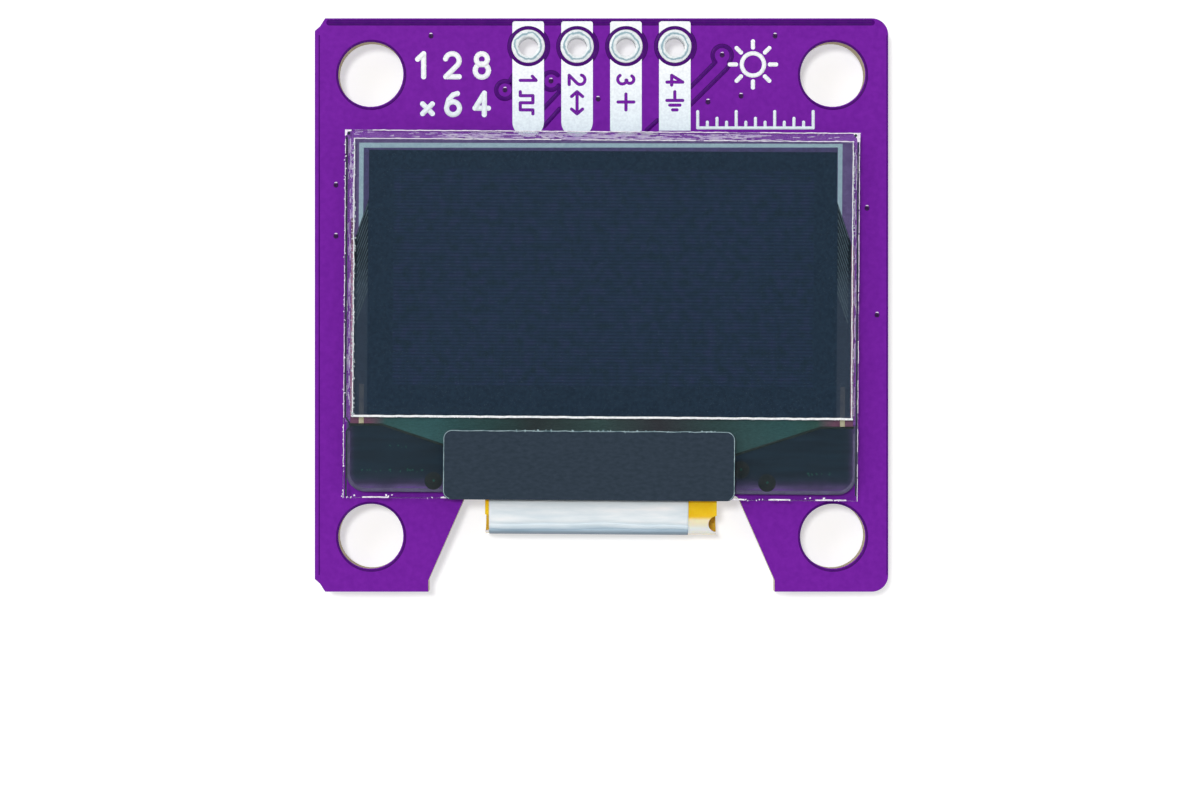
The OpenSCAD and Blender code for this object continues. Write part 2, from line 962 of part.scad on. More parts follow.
module capacitor_body(i) {
    color("#b08d62")
        behind(CAPACITORS[i - 1])
            chip_block(capacitor_h);
}

module capacitor_ends(i) {
    behind(CAPACITORS[i - 1])
        chip_ends(capacitor_h);
}

module resistor_body(i) {
    color("#1c1c1e")
        behind(RESISTORS[i - 1])
            chip_block(resistor_h);
}

module resistor_ends(i) {
    behind(RESISTORS[i - 1])
        chip_ends(resistor_h);
}

circuit_board();
pin_label_bars();
for (i = [1 : PIN_COUNT])
    plated_hole(i);
mounting_tape();
rear_glass();
drying_sheet();
edge_seal();
pixel_film();
glass_traces();
front_glass();
polarizer();
driver_chip();
ledge_sealant();
light_shield();
flex_tail();
fold_tape();
tail_conductors();
tail_solder();
board_lands();
solder_fillets();
transistor_body(REGULATOR);  // regulator_body
transistor_leads(REGULATOR);  // regulator_leads
for (i = [1 : len(SHIFTERS)]) {
    transistor_body(SHIFTERS[i - 1]);
    transistor_leads(SHIFTERS[i - 1]);
}
diode_body();
diode_leads();
for (i = [1 : CAPACITOR_COUNT]) {
    capacitor_body(i);
    capacitor_ends(i);
}
for (i = [1 : RESISTOR_COUNT]) {
    resistor_body(i);
    resistor_ends(i);
}
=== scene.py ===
# %% [markdown]
# # A small display module
#
# A bare glass display is taped to a purple circuit board. Its flexible tail folds
# through a notch in the board and is soldered behind it. The solids come from the
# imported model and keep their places. This script gives them their surfaces, and adds
# what is too thin for the solids: ink, etched gaps, the frayed edge of a film, the
# rows and columns of the picture, and a crease in a tape.

import math
import random

import bmesh
import bpy
from mathutils import Matrix, Vector


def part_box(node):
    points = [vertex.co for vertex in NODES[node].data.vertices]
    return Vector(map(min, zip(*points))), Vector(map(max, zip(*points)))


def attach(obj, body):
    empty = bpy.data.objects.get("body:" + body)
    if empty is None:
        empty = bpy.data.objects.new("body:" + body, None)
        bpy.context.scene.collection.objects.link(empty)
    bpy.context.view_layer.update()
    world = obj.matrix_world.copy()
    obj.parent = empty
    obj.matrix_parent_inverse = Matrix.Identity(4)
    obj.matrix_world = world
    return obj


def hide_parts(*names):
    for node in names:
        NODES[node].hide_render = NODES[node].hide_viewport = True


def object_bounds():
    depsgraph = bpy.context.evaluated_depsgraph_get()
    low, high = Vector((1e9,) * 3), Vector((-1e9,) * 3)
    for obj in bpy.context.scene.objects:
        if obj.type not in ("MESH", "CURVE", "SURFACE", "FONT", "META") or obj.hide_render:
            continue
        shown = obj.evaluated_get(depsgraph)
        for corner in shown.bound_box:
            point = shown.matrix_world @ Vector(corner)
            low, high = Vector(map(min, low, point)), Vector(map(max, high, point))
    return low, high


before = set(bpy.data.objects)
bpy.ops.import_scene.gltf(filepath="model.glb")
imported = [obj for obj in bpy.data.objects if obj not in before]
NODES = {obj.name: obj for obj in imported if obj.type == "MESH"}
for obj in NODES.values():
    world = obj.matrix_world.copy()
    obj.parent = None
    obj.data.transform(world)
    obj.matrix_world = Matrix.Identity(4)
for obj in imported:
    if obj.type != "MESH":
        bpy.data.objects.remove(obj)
cad_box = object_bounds()
BODY = "root"
MM = 0.001
print("nodes:", len(NODES))

# %% [markdown]
# Everything is measured in millimetres here and turned to metres as a mesh is made.
# The display was stuck down by hand, so it sits a little askew. Its middle comes from
# the glass's box, and its turn from two of the glass's own corners. `on_panel` then
# takes a place in the display's own frame, with u across and v up, to the part's frame.


# %% The display's own frame
def box_mm(node):
    low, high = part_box(node)
    return low / MM, high / MM


glass_low, glass_high = box_mm("front_glass")
panel_mid = (glass_low + glass_high) / 2
glass_points = [v.co / MM for v in NODES["front_glass"].data.vertices]
low_left = min(glass_points, key=lambda p: p.x + p.y)
low_right = max(glass_points, key=lambda p: p.x - p.y)
up_left = min(glass_points, key=lambda p: p.x - p.y)
panel_turn = math.atan2(low_right.y - low_left.y, low_right.x - low_left.x)
GLASS_W = (low_right.xy - low_left.xy).length
GLASS_H = (up_left.xy - low_left.xy).length
COS, SIN = math.cos(panel_turn), math.sin(panel_turn)


def on_panel(u, v):
    return panel_mid.x + u * COS - v * SIN, panel_mid.y + u * SIN + v * COS


def panel_path(path):
    return [on_panel(u, v) for u, v in path]


def panel_paths(paths):
    return [panel_path(path) for path in paths]


def panel_span(node):
    """The lowest and highest u and v of a node, in the display's own frame."""
    us, vs = [], []
    for vertex in NODES[node].data.vertices:
        x, y = vertex.co.x / MM - panel_mid.x, vertex.co.y / MM - panel_mid.y
        us.append(x * COS + y * SIN)
        vs.append(y * COS - x * SIN)
    return min(us), min(vs), max(us), max(vs)


BOARD_LOW, BOARD_HIGH = box_mm("circuit_board")
BOARD_TOP = BOARD_HIGH.z
FRONT_Z = glass_high.z
UNDER_GLASS_Z = glass_low.z
print("glass:", round(GLASS_W, 2), "by", round(GLASS_H, 2), "mm, turned",
      round(math.degrees(panel_turn), 2), "degrees")

# %% [markdown]
# ## Small tools
#
# A finish is a tree of nodes, and so is a shape that repeats. One function adds a node
# to either kind of tree, with its settings, and joins its inputs. Colours are written
# as sRGB hex values, as they are picked from a swatch, and one function makes them
# linear.


# %% Nodes and colours
def add(tree, kind, inputs=None, **settings):
    """Adds a node. Each input is a value, or a socket to link it to."""
    node = tree.nodes.new(kind)
    for name, value in settings.items():
        setattr(node, name, value)
    for key, value in (inputs or {}).items():
        if isinstance(value, bpy.types.NodeSocket):
            tree.links.new(value, node.inputs[key])
        else:
            node.inputs[key].default_value = value
    return node


def linear(hex_colour, alpha=1.0):
    parts = [int(hex_colour[i:i + 2], 16) / 255 for i in (1, 3, 5)]
    return [p / 12.92 if p <= 0.04045 else ((p + 0.055) / 1.055) ** 2.4 for p in parts] + [alpha]


def finish(name, **sockets):
    """A new material with one Principled shader, whose constants sit on its own sockets."""
    made = bpy.data.materials.new(name)
    made.use_nodes = True
    tree = made.node_tree
    shader = tree.nodes["Principled BSDF"]
    for key, value in sockets.items():
        shader.inputs[key.replace("_", " ")].default_value = value
    return made, tree, shader


def ramp(tree, factor, stops, smooth=False):
    node = add(tree, "ShaderNodeValToRGB", {"Fac": factor})
    node.color_ramp.interpolation = "EASE" if smooth else "LINEAR"
    points = node.color_ramp.elements
    while len(points) < len(stops):
        points.new(0.5)
    for point, (place, hex_colour) in zip(points, stops):
        point.position = place
        point.color = linear(hex_colour)
    return node.outputs["Color"]


def speckle(tree, size_mm, detail=2.0, squash=(1, 1, 1)):
    """Noise whose blotches are about size_mm across, on the object's own coordinates."""
    place = add(tree, "ShaderNodeTexCoord").outputs["Object"]
    turned = add(tree, "ShaderNodeMapping", {"Vector": place, "Scale": squash})
    return add(tree, "ShaderNodeTexNoise", {
        "Vector": turned.outputs["Vector"], "Scale": 1 / (size_mm * MM),
        "Detail": detail}).outputs["Fac"]


def blend(tree, factor, a, b, how="MIX"):
    return add(tree, "ShaderNodeMix", {"Factor": factor, 6: a, 7: b}, data_type="RGBA",
               blend_type=how).outputs[2]


def spread(tree, value, low, high, to_low=0.0, to_high=1.0):
    return add(tree, "ShaderNodeMapRange", {
        "Value": value, "From Min": low, "From Max": high, "To Min": to_low,
        "To Max": to_high}).outputs[0]


def own_coordinate(tree, axis):
    place = add(tree, "ShaderNodeTexCoord").outputs["Object"]
    return add(tree, "ShaderNodeSeparateXYZ", {"Vector": place}).outputs[axis]


def roughen(tree, shader, height, depth_mm, strength=1.0):
    bump = add(tree, "ShaderNodeBump", {
        "Height": height, "Distance": depth_mm * MM, "Strength": strength})
    tree.links.new(bump.outputs["Normal"], shader.inputs["Normal"])


def two_tone(name, dark, light, size_mm, detail=2.0, squash=(1, 1, 1), places=(0.3, 0.7),
             bump=None, **sockets):
    """A finish that wanders between two colours in blotches about size_mm across. The
    bump is the size and detail of a second noise, and its depth in millimetres."""
    made, tree, shader = finish(name, **sockets)
    tree.links.new(ramp(tree, speckle(tree, size_mm, detail, squash),
                        list(zip(places, (dark, light)))), shader.inputs["Base Color"])
    if bump:
        roughen(tree, shader, speckle(tree, bump[0], bump[1]), bump[2])
    return made


def dress(node, material):
    """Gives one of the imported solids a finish."""
    NODES[node].data.materials.clear()
    NODES[node].data.materials.append(material)


# %% [markdown]
# A piece made here is a mesh in the part's own frame. It rides on the one body, and
# hides the solids that it stands for.


# %% Meshes and pieces
def new_object(name, data):
    made = bpy.data.objects.new(name, data)
    bpy.context.scene.collection.objects.link(made)
    return made


def new_mesh(name, points_mm, faces, material, smooth=False):
    mesh = bpy.data.meshes.new(name)
    mesh.from_pydata([[c * MM for c in p] for p in points_mm], [], faces)
    mesh.materials.append(material)
    mesh.validate()
    if smooth:
        mesh.shade_smooth()
    return new_object(name, mesh)


def outward(piece):
    """Merges doubles and turns every face outwards."""
    work = bmesh.new()
    work.from_mesh(piece.data)
    bmesh.ops.remove_doubles(work, verts=work.verts, dist=1e-8)
    bmesh.ops.recalc_face_normals(work, faces=work.faces)
    work.to_mesh(piece.data)
    work.free()
    return piece


def prism(name, outline, z0, z1, material):
    """An upright prism on a convex or simple outline, given anticlockwise."""
    n = len(outline)
    points = [(x, y, z0) for x, y in outline] + [(x, y, z1) for x, y in outline]
    sides = [(i, (i + 1) % n, n + (i + 1) % n, n + i) for i in range(n)]
    faces = [tuple(reversed(range(n))), tuple(range(n, 2 * n)), *sides]
    return new_mesh(name, points, faces, material)


SHARP = 40


def soften(piece, width_mm, segments=2):
    """Rounds the sharp edges, as cutting, printing or moulding leaves them."""
    bevel = piece.modifiers.new("rounded edges", "BEVEL")
    bevel.width = width_mm * MM
    bevel.segments = segments
    bevel.limit_method = "ANGLE"
    bevel.angle_limit = math.radians(SHARP)
    return piece


def keep(piece, slot, *stands_for):
    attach(piece, BODY)
    if stands_for:
        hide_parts(*stands_for)
    print(piece.name, "-", len(piece.data.polygons), "faces")
    return piece


def arc(x, y, r, start, end, steps=12):
    angles = [math.radians(start + (end - start) * i / steps) for i in range(steps + 1)]
    return [(x + r * math.cos(a), y + r * math.sin(a)) for a in angles]


def rectangle(u0, v0, u1, v1):
    return [(u0, v0), (u1, v0), (u1, v1), (u0, v1)]


# %% [markdown]
# ## Lines that follow a path
#
# Printed strokes, etched gaps, fine traces and the light line along a cut edge are all
# one thing: a flat strip of a given width along a path. A node tree sweeps a small
# rectangle along each curve. A round pad at each open end gives the blunt, round look
# of a stroke that a pen plotter or a printing screen leaves. Curve to Mesh was chosen
# over a bevelled curve because a bevel would be as high as it is wide.


# %% The strip tree
def group_with(name, sizes):
    tree = bpy.data.node_groups.new(name, "GeometryNodeTree")
    tree.interface.new_socket("Geometry", in_out="INPUT", socket_type="NodeSocketGeometry")
    for label, kind, value in sizes:
        socket = tree.interface.new_socket(label, in_out="INPUT", socket_type=kind)
        if value is not None:
            socket.default_value = value
    tree.interface.new_socket("Geometry", in_out="OUTPUT", socket_type="NodeSocketGeometry")
    return tree, add(tree, "NodeGroupInput").outputs


def close_tree(tree, geometry, material):
    """Makes instances real, gives them their material and ends the tree."""
    real = add(tree, "GeometryNodeRealizeInstances", {"Geometry": geometry})
    coated = add(tree, "GeometryNodeSetMaterial", {
        "Geometry": real.outputs["Geometry"], "Material": material})
    add(tree, "NodeGroupOutput", {"Geometry": coated.outputs["Geometry"]})


STRIP, inputs = group_with("strip along a path", [
    ("Width", "NodeSocketFloat", 0.0002), ("Height", "NodeSocketFloat", 0.00002),
    ("Material", "NodeSocketMaterial", None)])
upright = add(STRIP, "GeometryNodeSetCurveNormal", {"Curve": inputs["Geometry"]})
upright.mode = "Z_UP"
section = add(STRIP, "GeometryNodeCurvePrimitiveQuadrilateral", {
    "Width": inputs["Width"], "Height": inputs["Height"]})
swept = add(STRIP, "GeometryNodeCurveToMesh", {
    "Curve": upright.outputs["Curve"], "Profile Curve": section.outputs["Curve"],
    "Fill Caps": True})
half = add(STRIP, "ShaderNodeMath", {0: inputs["Width"], 1: 0.5}, operation="MULTIPLY")
lower = add(STRIP, "ShaderNodeMath", {0: inputs["Height"], 1: 0.96}, operation="MULTIPLY")
pad = add(STRIP, "GeometryNodeMeshCylinder", {
    "Vertices": 16, "Radius": half.outputs[0], "Depth": lower.outputs[0]})
ends = add(STRIP, "GeometryNodeCurveEndpointSelection")
pads = add(STRIP, "GeometryNodeInstanceOnPoints", {
    "Points": upright.outputs["Curve"], "Selection": ends.outputs["Selection"],
    "Instance": pad.outputs["Mesh"]})
whole = add(STRIP, "GeometryNodeJoinGeometry")
STRIP.links.new(pads.outputs["Instances"], whole.inputs["Geometry"])
STRIP.links.new(swept.outputs["Mesh"], whole.inputs["Geometry"])
close_tree(STRIP, whole.outputs["Geometry"], inputs["Material"])
print("strip tree:", len(STRIP.nodes), "nodes")


# %% Grow a shape from a tree
def curve_object(name, paths, z_mm, step_mm=0.0, closed=False):
    """Poly splines at height z_mm. Each next path lies step_mm lower, so none coincide."""
    data = bpy.data.curves.new(name, "CURVE")
    data.dimensions = "3D"
    for i, path in enumerate(paths):
        spline = data.splines.new("POLY")
        spline.points.add(len(path) - 1)
        spline.use_cyclic_u = closed
        for point, place in zip(spline.points, path):
            z = place[2] if len(place) > 2 else z_mm - step_mm * i
            point.co = (place[0] * MM, place[1] * MM, z * MM, 1)
    return new_object(name, data)


def grow(name, seed_object, tree, **sizes):
    """Runs a node tree on an object, and keeps the result as a plain mesh."""
    modifier = seed_object.modifiers.new(tree.name, "NODES")
    modifier.node_group = tree
    for item in tree.interface.items_tree:
        if item.in_out == "INPUT" and item.name in sizes:
            modifier[item.identifier] = sizes[item.name]
    bpy.context.view_layer.update()
    seen = seed_object.evaluated_get(bpy.context.evaluated_depsgraph_get())
    mesh = bpy.data.meshes.new_from_object(seen)
    mesh.name = name
    data = seed_object.data
    bpy.data.objects.remove(seed_object)
    if isinstance(data, bpy.types.Curve):
        bpy.data.curves.remove(data)
    return new_object(name, mesh)


def split_at_corners(paths, sharpest=35):
    """Parts a path at each sharp corner, where two round ends make a clean joint."""
    parts = []
    for path in paths:
        start = 0
        for i in range(1, len(path) - 1):
            (ax, ay), (bx, by), (cx, cy) = path[i - 1], path[i], path[i + 1]
            turn = math.degrees(math.atan2(cy - by, cx - bx) - math.atan2(by - ay, bx - ax))
            if abs((turn + 180) % 360 - 180) > sharpest:
                parts.append(path[start:i + 1])
                start = i
        last = path[start:]
        if len(last) > 4 and math.dist(last[0], last[-1]) < 1e-6:
            middle = len(last) // 2
            parts += [last[:middle + 1], last[middle:]]
        else:
            parts.append(last)
    return parts


def strips(name, paths, z_mm, width_mm, height_mm, material, step_mm=0.0002, closed=False):
    """Flat strips along paths, resting on z_mm."""
    paths = paths if closed else split_at_corners(paths)
    path = curve_object(name + "_path", paths, z_mm + height_mm / 2, step_mm, closed)
    return grow(name, path, STRIP, Width=width_mm * MM, Height=height_mm * MM,
                Material=material)


def join(name, pieces):
    """One mesh from several, keeping each one's material."""
    work = bmesh.new()
    materials = []
    for piece in pieces:
        start = len(work.faces)
        for material in piece.data.materials:
            if material not in materials:
                materials.append(material)
        work.from_mesh(piece.data)
        work.faces.ensure_lookup_table()
        own = list(piece.data.materials)
        for face in work.faces[start:]:
            face.material_index = materials.index(own[face.material_index])
    mesh = bpy.data.meshes.new(name)
    work.to_mesh(mesh)
    work.free()
    for material in materials:
        mesh.materials.append(material)
    for piece in pieces:
        old = piece.data
        bpy.data.objects.remove(piece)
        bpy.data.meshes.remove(old)
    return new_object(name, mesh)


# %% [markdown]
# ## The circuit board
#
# The board is glass-fibre laminate with copper on both faces, under a purple solder
# mask: a thin, glossy ink that shows bright over copper and dark where the copper has
# been etched away. The cut edges and the bores show the bare laminate, in beige layers.
# One material can do both. The direction of the true normal tells faces from edges,
# which is safe because the board is flat.

# %% Solder mask and laminate
MASK_GLOSS = 0.34
board_mask, tree, shader = finish("solder mask over copper", IOR=1.5,
                                  Specular_IOR_Level=0.35)
facing = add(tree, "ShaderNodeSeparateXYZ", {
    "Vector": add(tree, "ShaderNodeNewGeometry").outputs["True Normal"]})
flat = add(tree, "ShaderNodeMath", {
    0: add(tree, "ShaderNodeMath", {0: facing.outputs["Z"]}, operation="ABSOLUTE").outputs[0],
    1: 0.5}, operation="GREATER_THAN").outputs[0]
purple = ramp(tree, speckle(tree, 0.25, 4), [(0.3, "#6c1a97"), (0.7, "#7620a1")])
layers = speckle(tree, 2.2, 2, squash=(1, 1, 12))
laminate = ramp(tree, layers, [(0.3, "#cdbf9f"), (0.5, "#d9ccae"), (0.7, "#e4d9c0")])
tree.links.new(blend(tree, flat, laminate, purple), shader.inputs["Base Color"])
tree.links.new(add(tree, "ShaderNodeMix", {
    "Factor": flat, 2: 0.8, 3: MASK_GLOSS}).outputs[0], shader.inputs["Roughness"])
roughen(tree, shader, speckle(tree, 0.35, 3), 0.004)

etched_gap, tree, shader = finish("solder mask over bare laminate", IOR=1.5,
                                  Roughness=MASK_GLOSS, Specular_IOR_Level=0.2)
tree.links.new(ramp(tree, speckle(tree, 0.3, 4), [(0.3, "#42036a"), (0.7, "#4d0672")]),
               shader.inputs["Base Color"])
roughen(tree, shader, speckle(tree, 0.35, 3), 0.004)
dress("circuit_board", board_mask)
print("board:", [round(c, 2) for c in BOARD_HIGH - BOARD_LOW], "mm")

# %% [markdown]
# The copper stops short of the board's edges and of each bore, and a gap runs along
# both sides of every trace. Those gaps show as dark lines in the mask. They are made
# as strips at most 6 thousandths of a millimetre proud, too low to see from the side.

# %% Etched gaps in the copper
HOLE_X, HOLE_Y = 12.0, 12.0
PINS = [box_mm(f"plated_hole_{i}") for i in range(1, 5)]
PIN_X = [(low.x + high.x) / 2 for low, high in PINS]
PIN_Y = (PINS[0][0].y + PINS[0][1].y) / 2
GAP_H = 0.004
left, right = BOARD_LOW.x, BOARD_HIGH.x
bottom, top = BOARD_LOW.y, BOARD_HIGH.y


def gap(name, paths, width, closed=False, z=BOARD_TOP, height=GAP_H):
    return strips(name, paths, z, width, height, etched_gap, closed=closed)


def mount_rings(r, steps, dx=0.0, dy=0.0):
    return [arc(x * HOLE_X + dx, y * HOLE_Y + dy, r, 0, 353, steps)
            for x in (-1, 1) for y in (-1, 1)]


gaps = [
    gap("gap_top_band", [[(left + 0.75, top - 0.22), (right - 0.85, top - 0.22)]], 0.31),
    gap("gap_side_lines", [[(left + 0.23, bottom + 0.9), (left + 0.23, top - 0.9)],
                           [(right - 0.06, bottom + 0.9), (right - 0.06, top - 0.9)]], 0.06),
    gap("gap_mount_rings", mount_rings(1.765, 70, 0.03, -0.04), 0.12, True),
    gap("gap_pad_rings", [arc(x, PIN_Y, 0.93, 0, 352, 60) for x in PIN_X], 0.12, True,
        height=GAP_H * 1.5),
    gap("gap_pad_shades", [arc(x + 0.03, PIN_Y - 0.01, 1.0, 0, 352, 60) for x in PIN_X], 0.24,
        True),
]

# The vias' own rings, and the lines on both sides of the traces that leave them
VIA_CLEAR = 0.46
traces = [
    arc(-5.015, 11.172, VIA_CLEAR, 60, 400, 30),
    [(-4.79, 11.6), (-4.6, 11.95)],
    arc(-2.624, 11.64, VIA_CLEAR, 40, 330, 26),
    [(-2.25, 11.33), (-2.17, 11.1), (-3.0, 10.22)],
    [(-2.17, 10.2), (-3.0, 9.27)],
    [(4.62, 11.31), *arc(6.27, 12.97, 0.5, 225, -45, 22), (6.66, 12.5), (6.5, 12.26),
     (4.62, 10.4)],
    [(2.91, 9.6), (2.35, 9.08)],
]
gaps.append(gap("gap_traces", traces, 0.23))
keep(join("etched_gaps", gaps), "board_mask")

# %% [markdown]
# A via is a tiny plated hole that joins the two faces. The mask dips into it, so it
# shows as a dark dimple. A small pale arc on its upper rim is a painted highlight.

# %% Vias
via_dark = two_tone("mask in a via", "#2b0d3d", "#42205a", 0.1, Roughness=0.3)
VIAS = [(-5.015, 11.172), (-2.624, 11.64), (6.27, 12.99), (-8.86, 13.98), (-0.18, 10.7),
        (5.53, 10.55), (7.25, 10.86), (9.02, 13.98), (-13.8, 6.23), (-13.8, 3.58),
        (13.8, 5.03), (14.32, -0.52)]


def dimple(x, y, r=0.13, z=BOARD_TOP):
    rings = [(r, 0.004), (0.72 * r, 0.012), (0.4 * r, 0.006), (0.15 * r, 0.003)]
    n = 16
    points = [(x + q * math.cos(k * math.tau / n), y + q * math.sin(k * math.tau / n), z + h)
              for q, h in rings for k in range(n)]
    faces = [(a * n + k, a * n + (k + 1) % n, (a + 1) * n + (k + 1) % n, (a + 1) * n + k)
             for a in range(len(rings) - 1) for k in range(n)]
    faces += [tuple(range((len(rings) - 1) * n, len(rings) * n)), tuple(reversed(range(n)))]
    return new_mesh("via", points, faces, via_dark, smooth=True)


# The pale arcs above each via are a painted highlight.
via_painted_highlight = two_tone("painted highlight on a via's rim", "#d9b8ea", "#ffffff", 0.1, Roughness=0.4)
rims = strips("via_highlights", [arc(x, y + 0.02, 0.12, 65, 115, 5) for x, y in VIAS],
              BOARD_TOP + 0.006, 0.05, 0.008, via_painted_highlight)
keep(join("via_dimples", [*[dimple(x, y) for x, y in VIAS], rims]), "board_mask")

# %% [markdown]
# ## Printed ink
#
# The white bars and marks are screen-printed on the mask. The bars carry a plain number
# for each hole and a common sign for what it does: a clock's square wave, a two-way
# arrow for data, a plus for supply, and the earth sign. The signs are gaps in the ink,
# so they are cut out of the bars with a Boolean. The signs read downwards, as the
# board is meant to be turned.

# %% White ink
ink, tree, shader = finish("screen-printed white ink", Roughness=0.55, IOR=1.48)
height = spread(tree, own_coordinate(tree, "Y"), 8.6 * MM, 12.6 * MM)
tinge = ramp(tree, height, [(0.0, "#e6f4fb"), (0.45, "#eef6fb"), (1.0, "#fafdff")])
grain = ramp(tree, speckle(tree, 0.12, 3), [(0.35, "#f1f1f3"), (0.65, "#ffffff")])
tree.links.new(blend(tree, 1.0, tinge, grain, "MULTIPLY"), shader.inputs["Base Color"])
roughen(tree, shader, speckle(tree, 0.15, 3), 0.004)

GLYPHS = {
    "0": [arc(0.3, 0.7, 0.3, 180, 0, 10) + arc(0.3, 0.3, 0.3, 0, -180, 10) + [(0, 0.7)]],
    "1": [[(0.08, 0.76), (0.34, 1), (0.34, 0)]],
    "2": [arc(0.3, 0.7, 0.3, 165, -38, 12) + [(0.02, 0), (0.6, 0)]],
    "3": [arc(0.28, 0.75, 0.25, 150, -80, 12), arc(0.28, 0.27, 0.29, 80, -150, 12)],
    "4": [[(0.45, 0), (0.45, 1), (0.02, 0.3), (0.64, 0.3)]],
    "6": [arc(0.3, 0.3, 0.3, 0, 360, 20), [(0.02, 0.4), (0.1, 0.7), (0.3, 0.92), (0.5, 0.98)]],
    "8": [arc(0.3, 0.76, 0.24, 0, 360, 18), arc(0.3, 0.27, 0.29, 0, 360, 20)],
    "x": [[(0.05, 0.05), (0.5, 0.5)], [(0.05, 0.5), (0.5, 0.05)]],
    "wave": [[(0, 0), (0.25, 0), (0.25, 0.8), (0.7, 0.8), (0.7, 0), (1.15, 0), (1.15, 0.8),
              (1.4, 0.8)]],
    "arrow": [[(0, 0.5), (1.4, 0.5)], [(0.3, 0.85), (0, 0.5), (0.3, 0.15)],
              [(1.1, 0.85), (1.4, 0.5), (1.1, 0.15)]],
    "plus": [[(0.15, 0.5), (1.15, 0.5)], [(0.65, 0), (0.65, 1)]],
    "earth": [[(0, 0.5), (0.55, 0.5)], [(0.55, 0), (0.55, 1)], [(0.85, 0.18), (0.85, 0.82)],
              [(1.15, 0.36), (1.15, 0.64)]],
}


def write(signs, x, y, size, step, downwards=False):
    """Paths of a row of signs from a lower left corner, or down from an upper left one."""
    paths = []
    for k, sign in enumerate(signs):
        for path in GLYPHS[sign]:
            along = [(size * (px + k * step), size * py) for px, py in path]
            paths.append([(x + b, y - a) if downwards else (x + a, y + b) for a, b in along])
    return paths


# %% The bars under the header holes
NUMBER_SIZE = 0.82
STROKE = 0.17
SIGN_TOP = 11.95
signs = []
for i, sign in enumerate(("wave", "arrow", "plus", "earth")):
    x = PIN_X[i] - NUMBER_SIZE / 2
    signs += write([str(i + 1)], x, SIGN_TOP, NUMBER_SIZE, 1, downwards=True)
    signs += write([sign], x, SIGN_TOP - 1.06 * NUMBER_SIZE, NUMBER_SIZE, 1, downwards=True)

bars = new_object("pin_bars", NODES["pin_label_bars"].data.copy())
bars.data.materials.clear()
bars.data.materials.append(ink)
outward(bars)
cutter = outward(strips("sign_cutter", signs, BOARD_TOP - 0.1, STROKE, 0.4, ink))
BAR_LOW, BAR_HIGH = box_mm("pin_label_bars")
BAR_HALF = (BAR_HIGH.x - BAR_LOW.x - (PIN_X[3] - PIN_X[0])) / 2
CORNER_R = 0.12
bits = [cutter]
for x in PIN_X:
    for s in (-1, 1):
        cx, cy = x + s * (BAR_HALF - CORNER_R), BAR_HIGH.y - CORNER_R
        curve = arc(cx, cy, CORNER_R, 90 - 90 * s, 90, 6)
        curve = curve if s > 0 else curve[::-1]
        outline = [*curve, (cx, cy + 2 * CORNER_R), (cx + s * 2 * CORNER_R, cy + 2 * CORNER_R),
                   (cx + s * 2 * CORNER_R, cy)]
        bits.append(outward(prism("corner_bit", outline, BOARD_TOP - 0.1, BOARD_TOP + 0.3, ink)))
cutter = join("sign_cutter", bits)
cut = bars.modifiers.new("signs", "BOOLEAN")
cut.operation = "DIFFERENCE"
cut.object = cutter
cut.solver = "EXACT"
cut.use_self = True
bpy.context.view_layer.update()
cut_mesh = bpy.data.meshes.new_from_object(
    bars.evaluated_get(bpy.context.evaluated_depsgraph_get()))
bars.modifiers.clear()
bars.data = cut_mesh
bpy.data.objects.remove(cutter)
keep(bars, "white_ink", "pin_label_bars")

# %% Marks beside the bars
INK_H = 0.02
marks = write("128", -9.65, 11.86, 1.2, 1.28)
marks += write("x", -9.35, 9.89, 1.12, 1)
marks += write("64", -8.05, 9.89, 1.12, 1.3)
marks_made = strips("ink_numbers", marks, BOARD_TOP, 0.27, INK_H, ink)

sun_x, sun_y = 7.87, 12.5
SUN_R, RAY_START, RAY_END = 0.58, 0.88, 1.2
sun = [arc(sun_x, sun_y, SUN_R, 0, 360, 30)]
for k in range(8):
    a = k * math.tau / 8
    sun.append([(sun_x + r * math.cos(a), sun_y + r * math.sin(a)) for r in (RAY_START, RAY_END)])
sun_made = strips("ink_sun", sun, BOARD_TOP, 0.22, INK_H, ink)

rule_x, rule_y, RULE_STEP = 5.0, 9.2, 0.5
rule = [[(rule_x, rule_y), (11.0, rule_y)]]
for k in range(13):
    x = rule_x + RULE_STEP * k
    rule.append([(x, rule_y), (x, rule_y + (0.85 if k % 4 == 0 else 0.5 if k % 2 == 0 else 0.3))])
rule_made = strips("ink_rule", rule, BOARD_TOP, 0.16, INK_H, ink)
keep(join("ink_marks", [marks_made, sun_made, rule_made]), "white_ink")

# %% [markdown]
# ## The plated holes
#
# Each header hole is lined with copper and dipped in solder, which draws into a low
# ring with a steep inner lip. Solder sets bright, but a little wavy. A spun profile
# gives the ring its true curve, finer than the solid's few facets. The solder pulls
# back from the middle of the ring, and a grey band there is a painted reflection of
# the room in that shallow valley. The radius of each point is stored on the mesh, so
# that the painted reflection can follow it.

# %% Solder rings
solder, tree, shader = finish("tin solder", Metallic=0.2)
radius = add(tree, "ShaderNodeAttribute", attribute_name="radius_mm").outputs["Fac"]
wavy = add(tree, "ShaderNodeMath", {
    0: speckle(tree, 0.45, 3), 1: 0.3, 2: -0.15}, operation="MULTIPLY_ADD").outputs[0]
outwards = spread(tree, add(tree, "ShaderNodeMath", {0: radius, 1: wavy}).outputs[0], 0.5, 0.86)
# The grey band round the middle of each ring is a painted reflection of the room.
painted_valley_reflection = ramp(tree, outwards, [(0.0, "#ffffff"), (0.3, "#fafeff"), (0.42, "#a9c4cd"),
                               (0.56, "#9bb8c3"), (0.68, "#f8fdff"), (1.0, "#ffffff")])
cloudy = ramp(tree, speckle(tree, 0.14, 4), [(0.3, "#e6edef"), (0.7, "#ffffff")])
tree.links.new(blend(tree, 1.0, painted_valley_reflection, cloudy, "MULTIPLY"), shader.inputs["Base Color"])
tree.links.new(spread(tree, speckle(tree, 0.12, 3), 0, 1, 0.35, 0.6), shader.inputs["Roughness"])
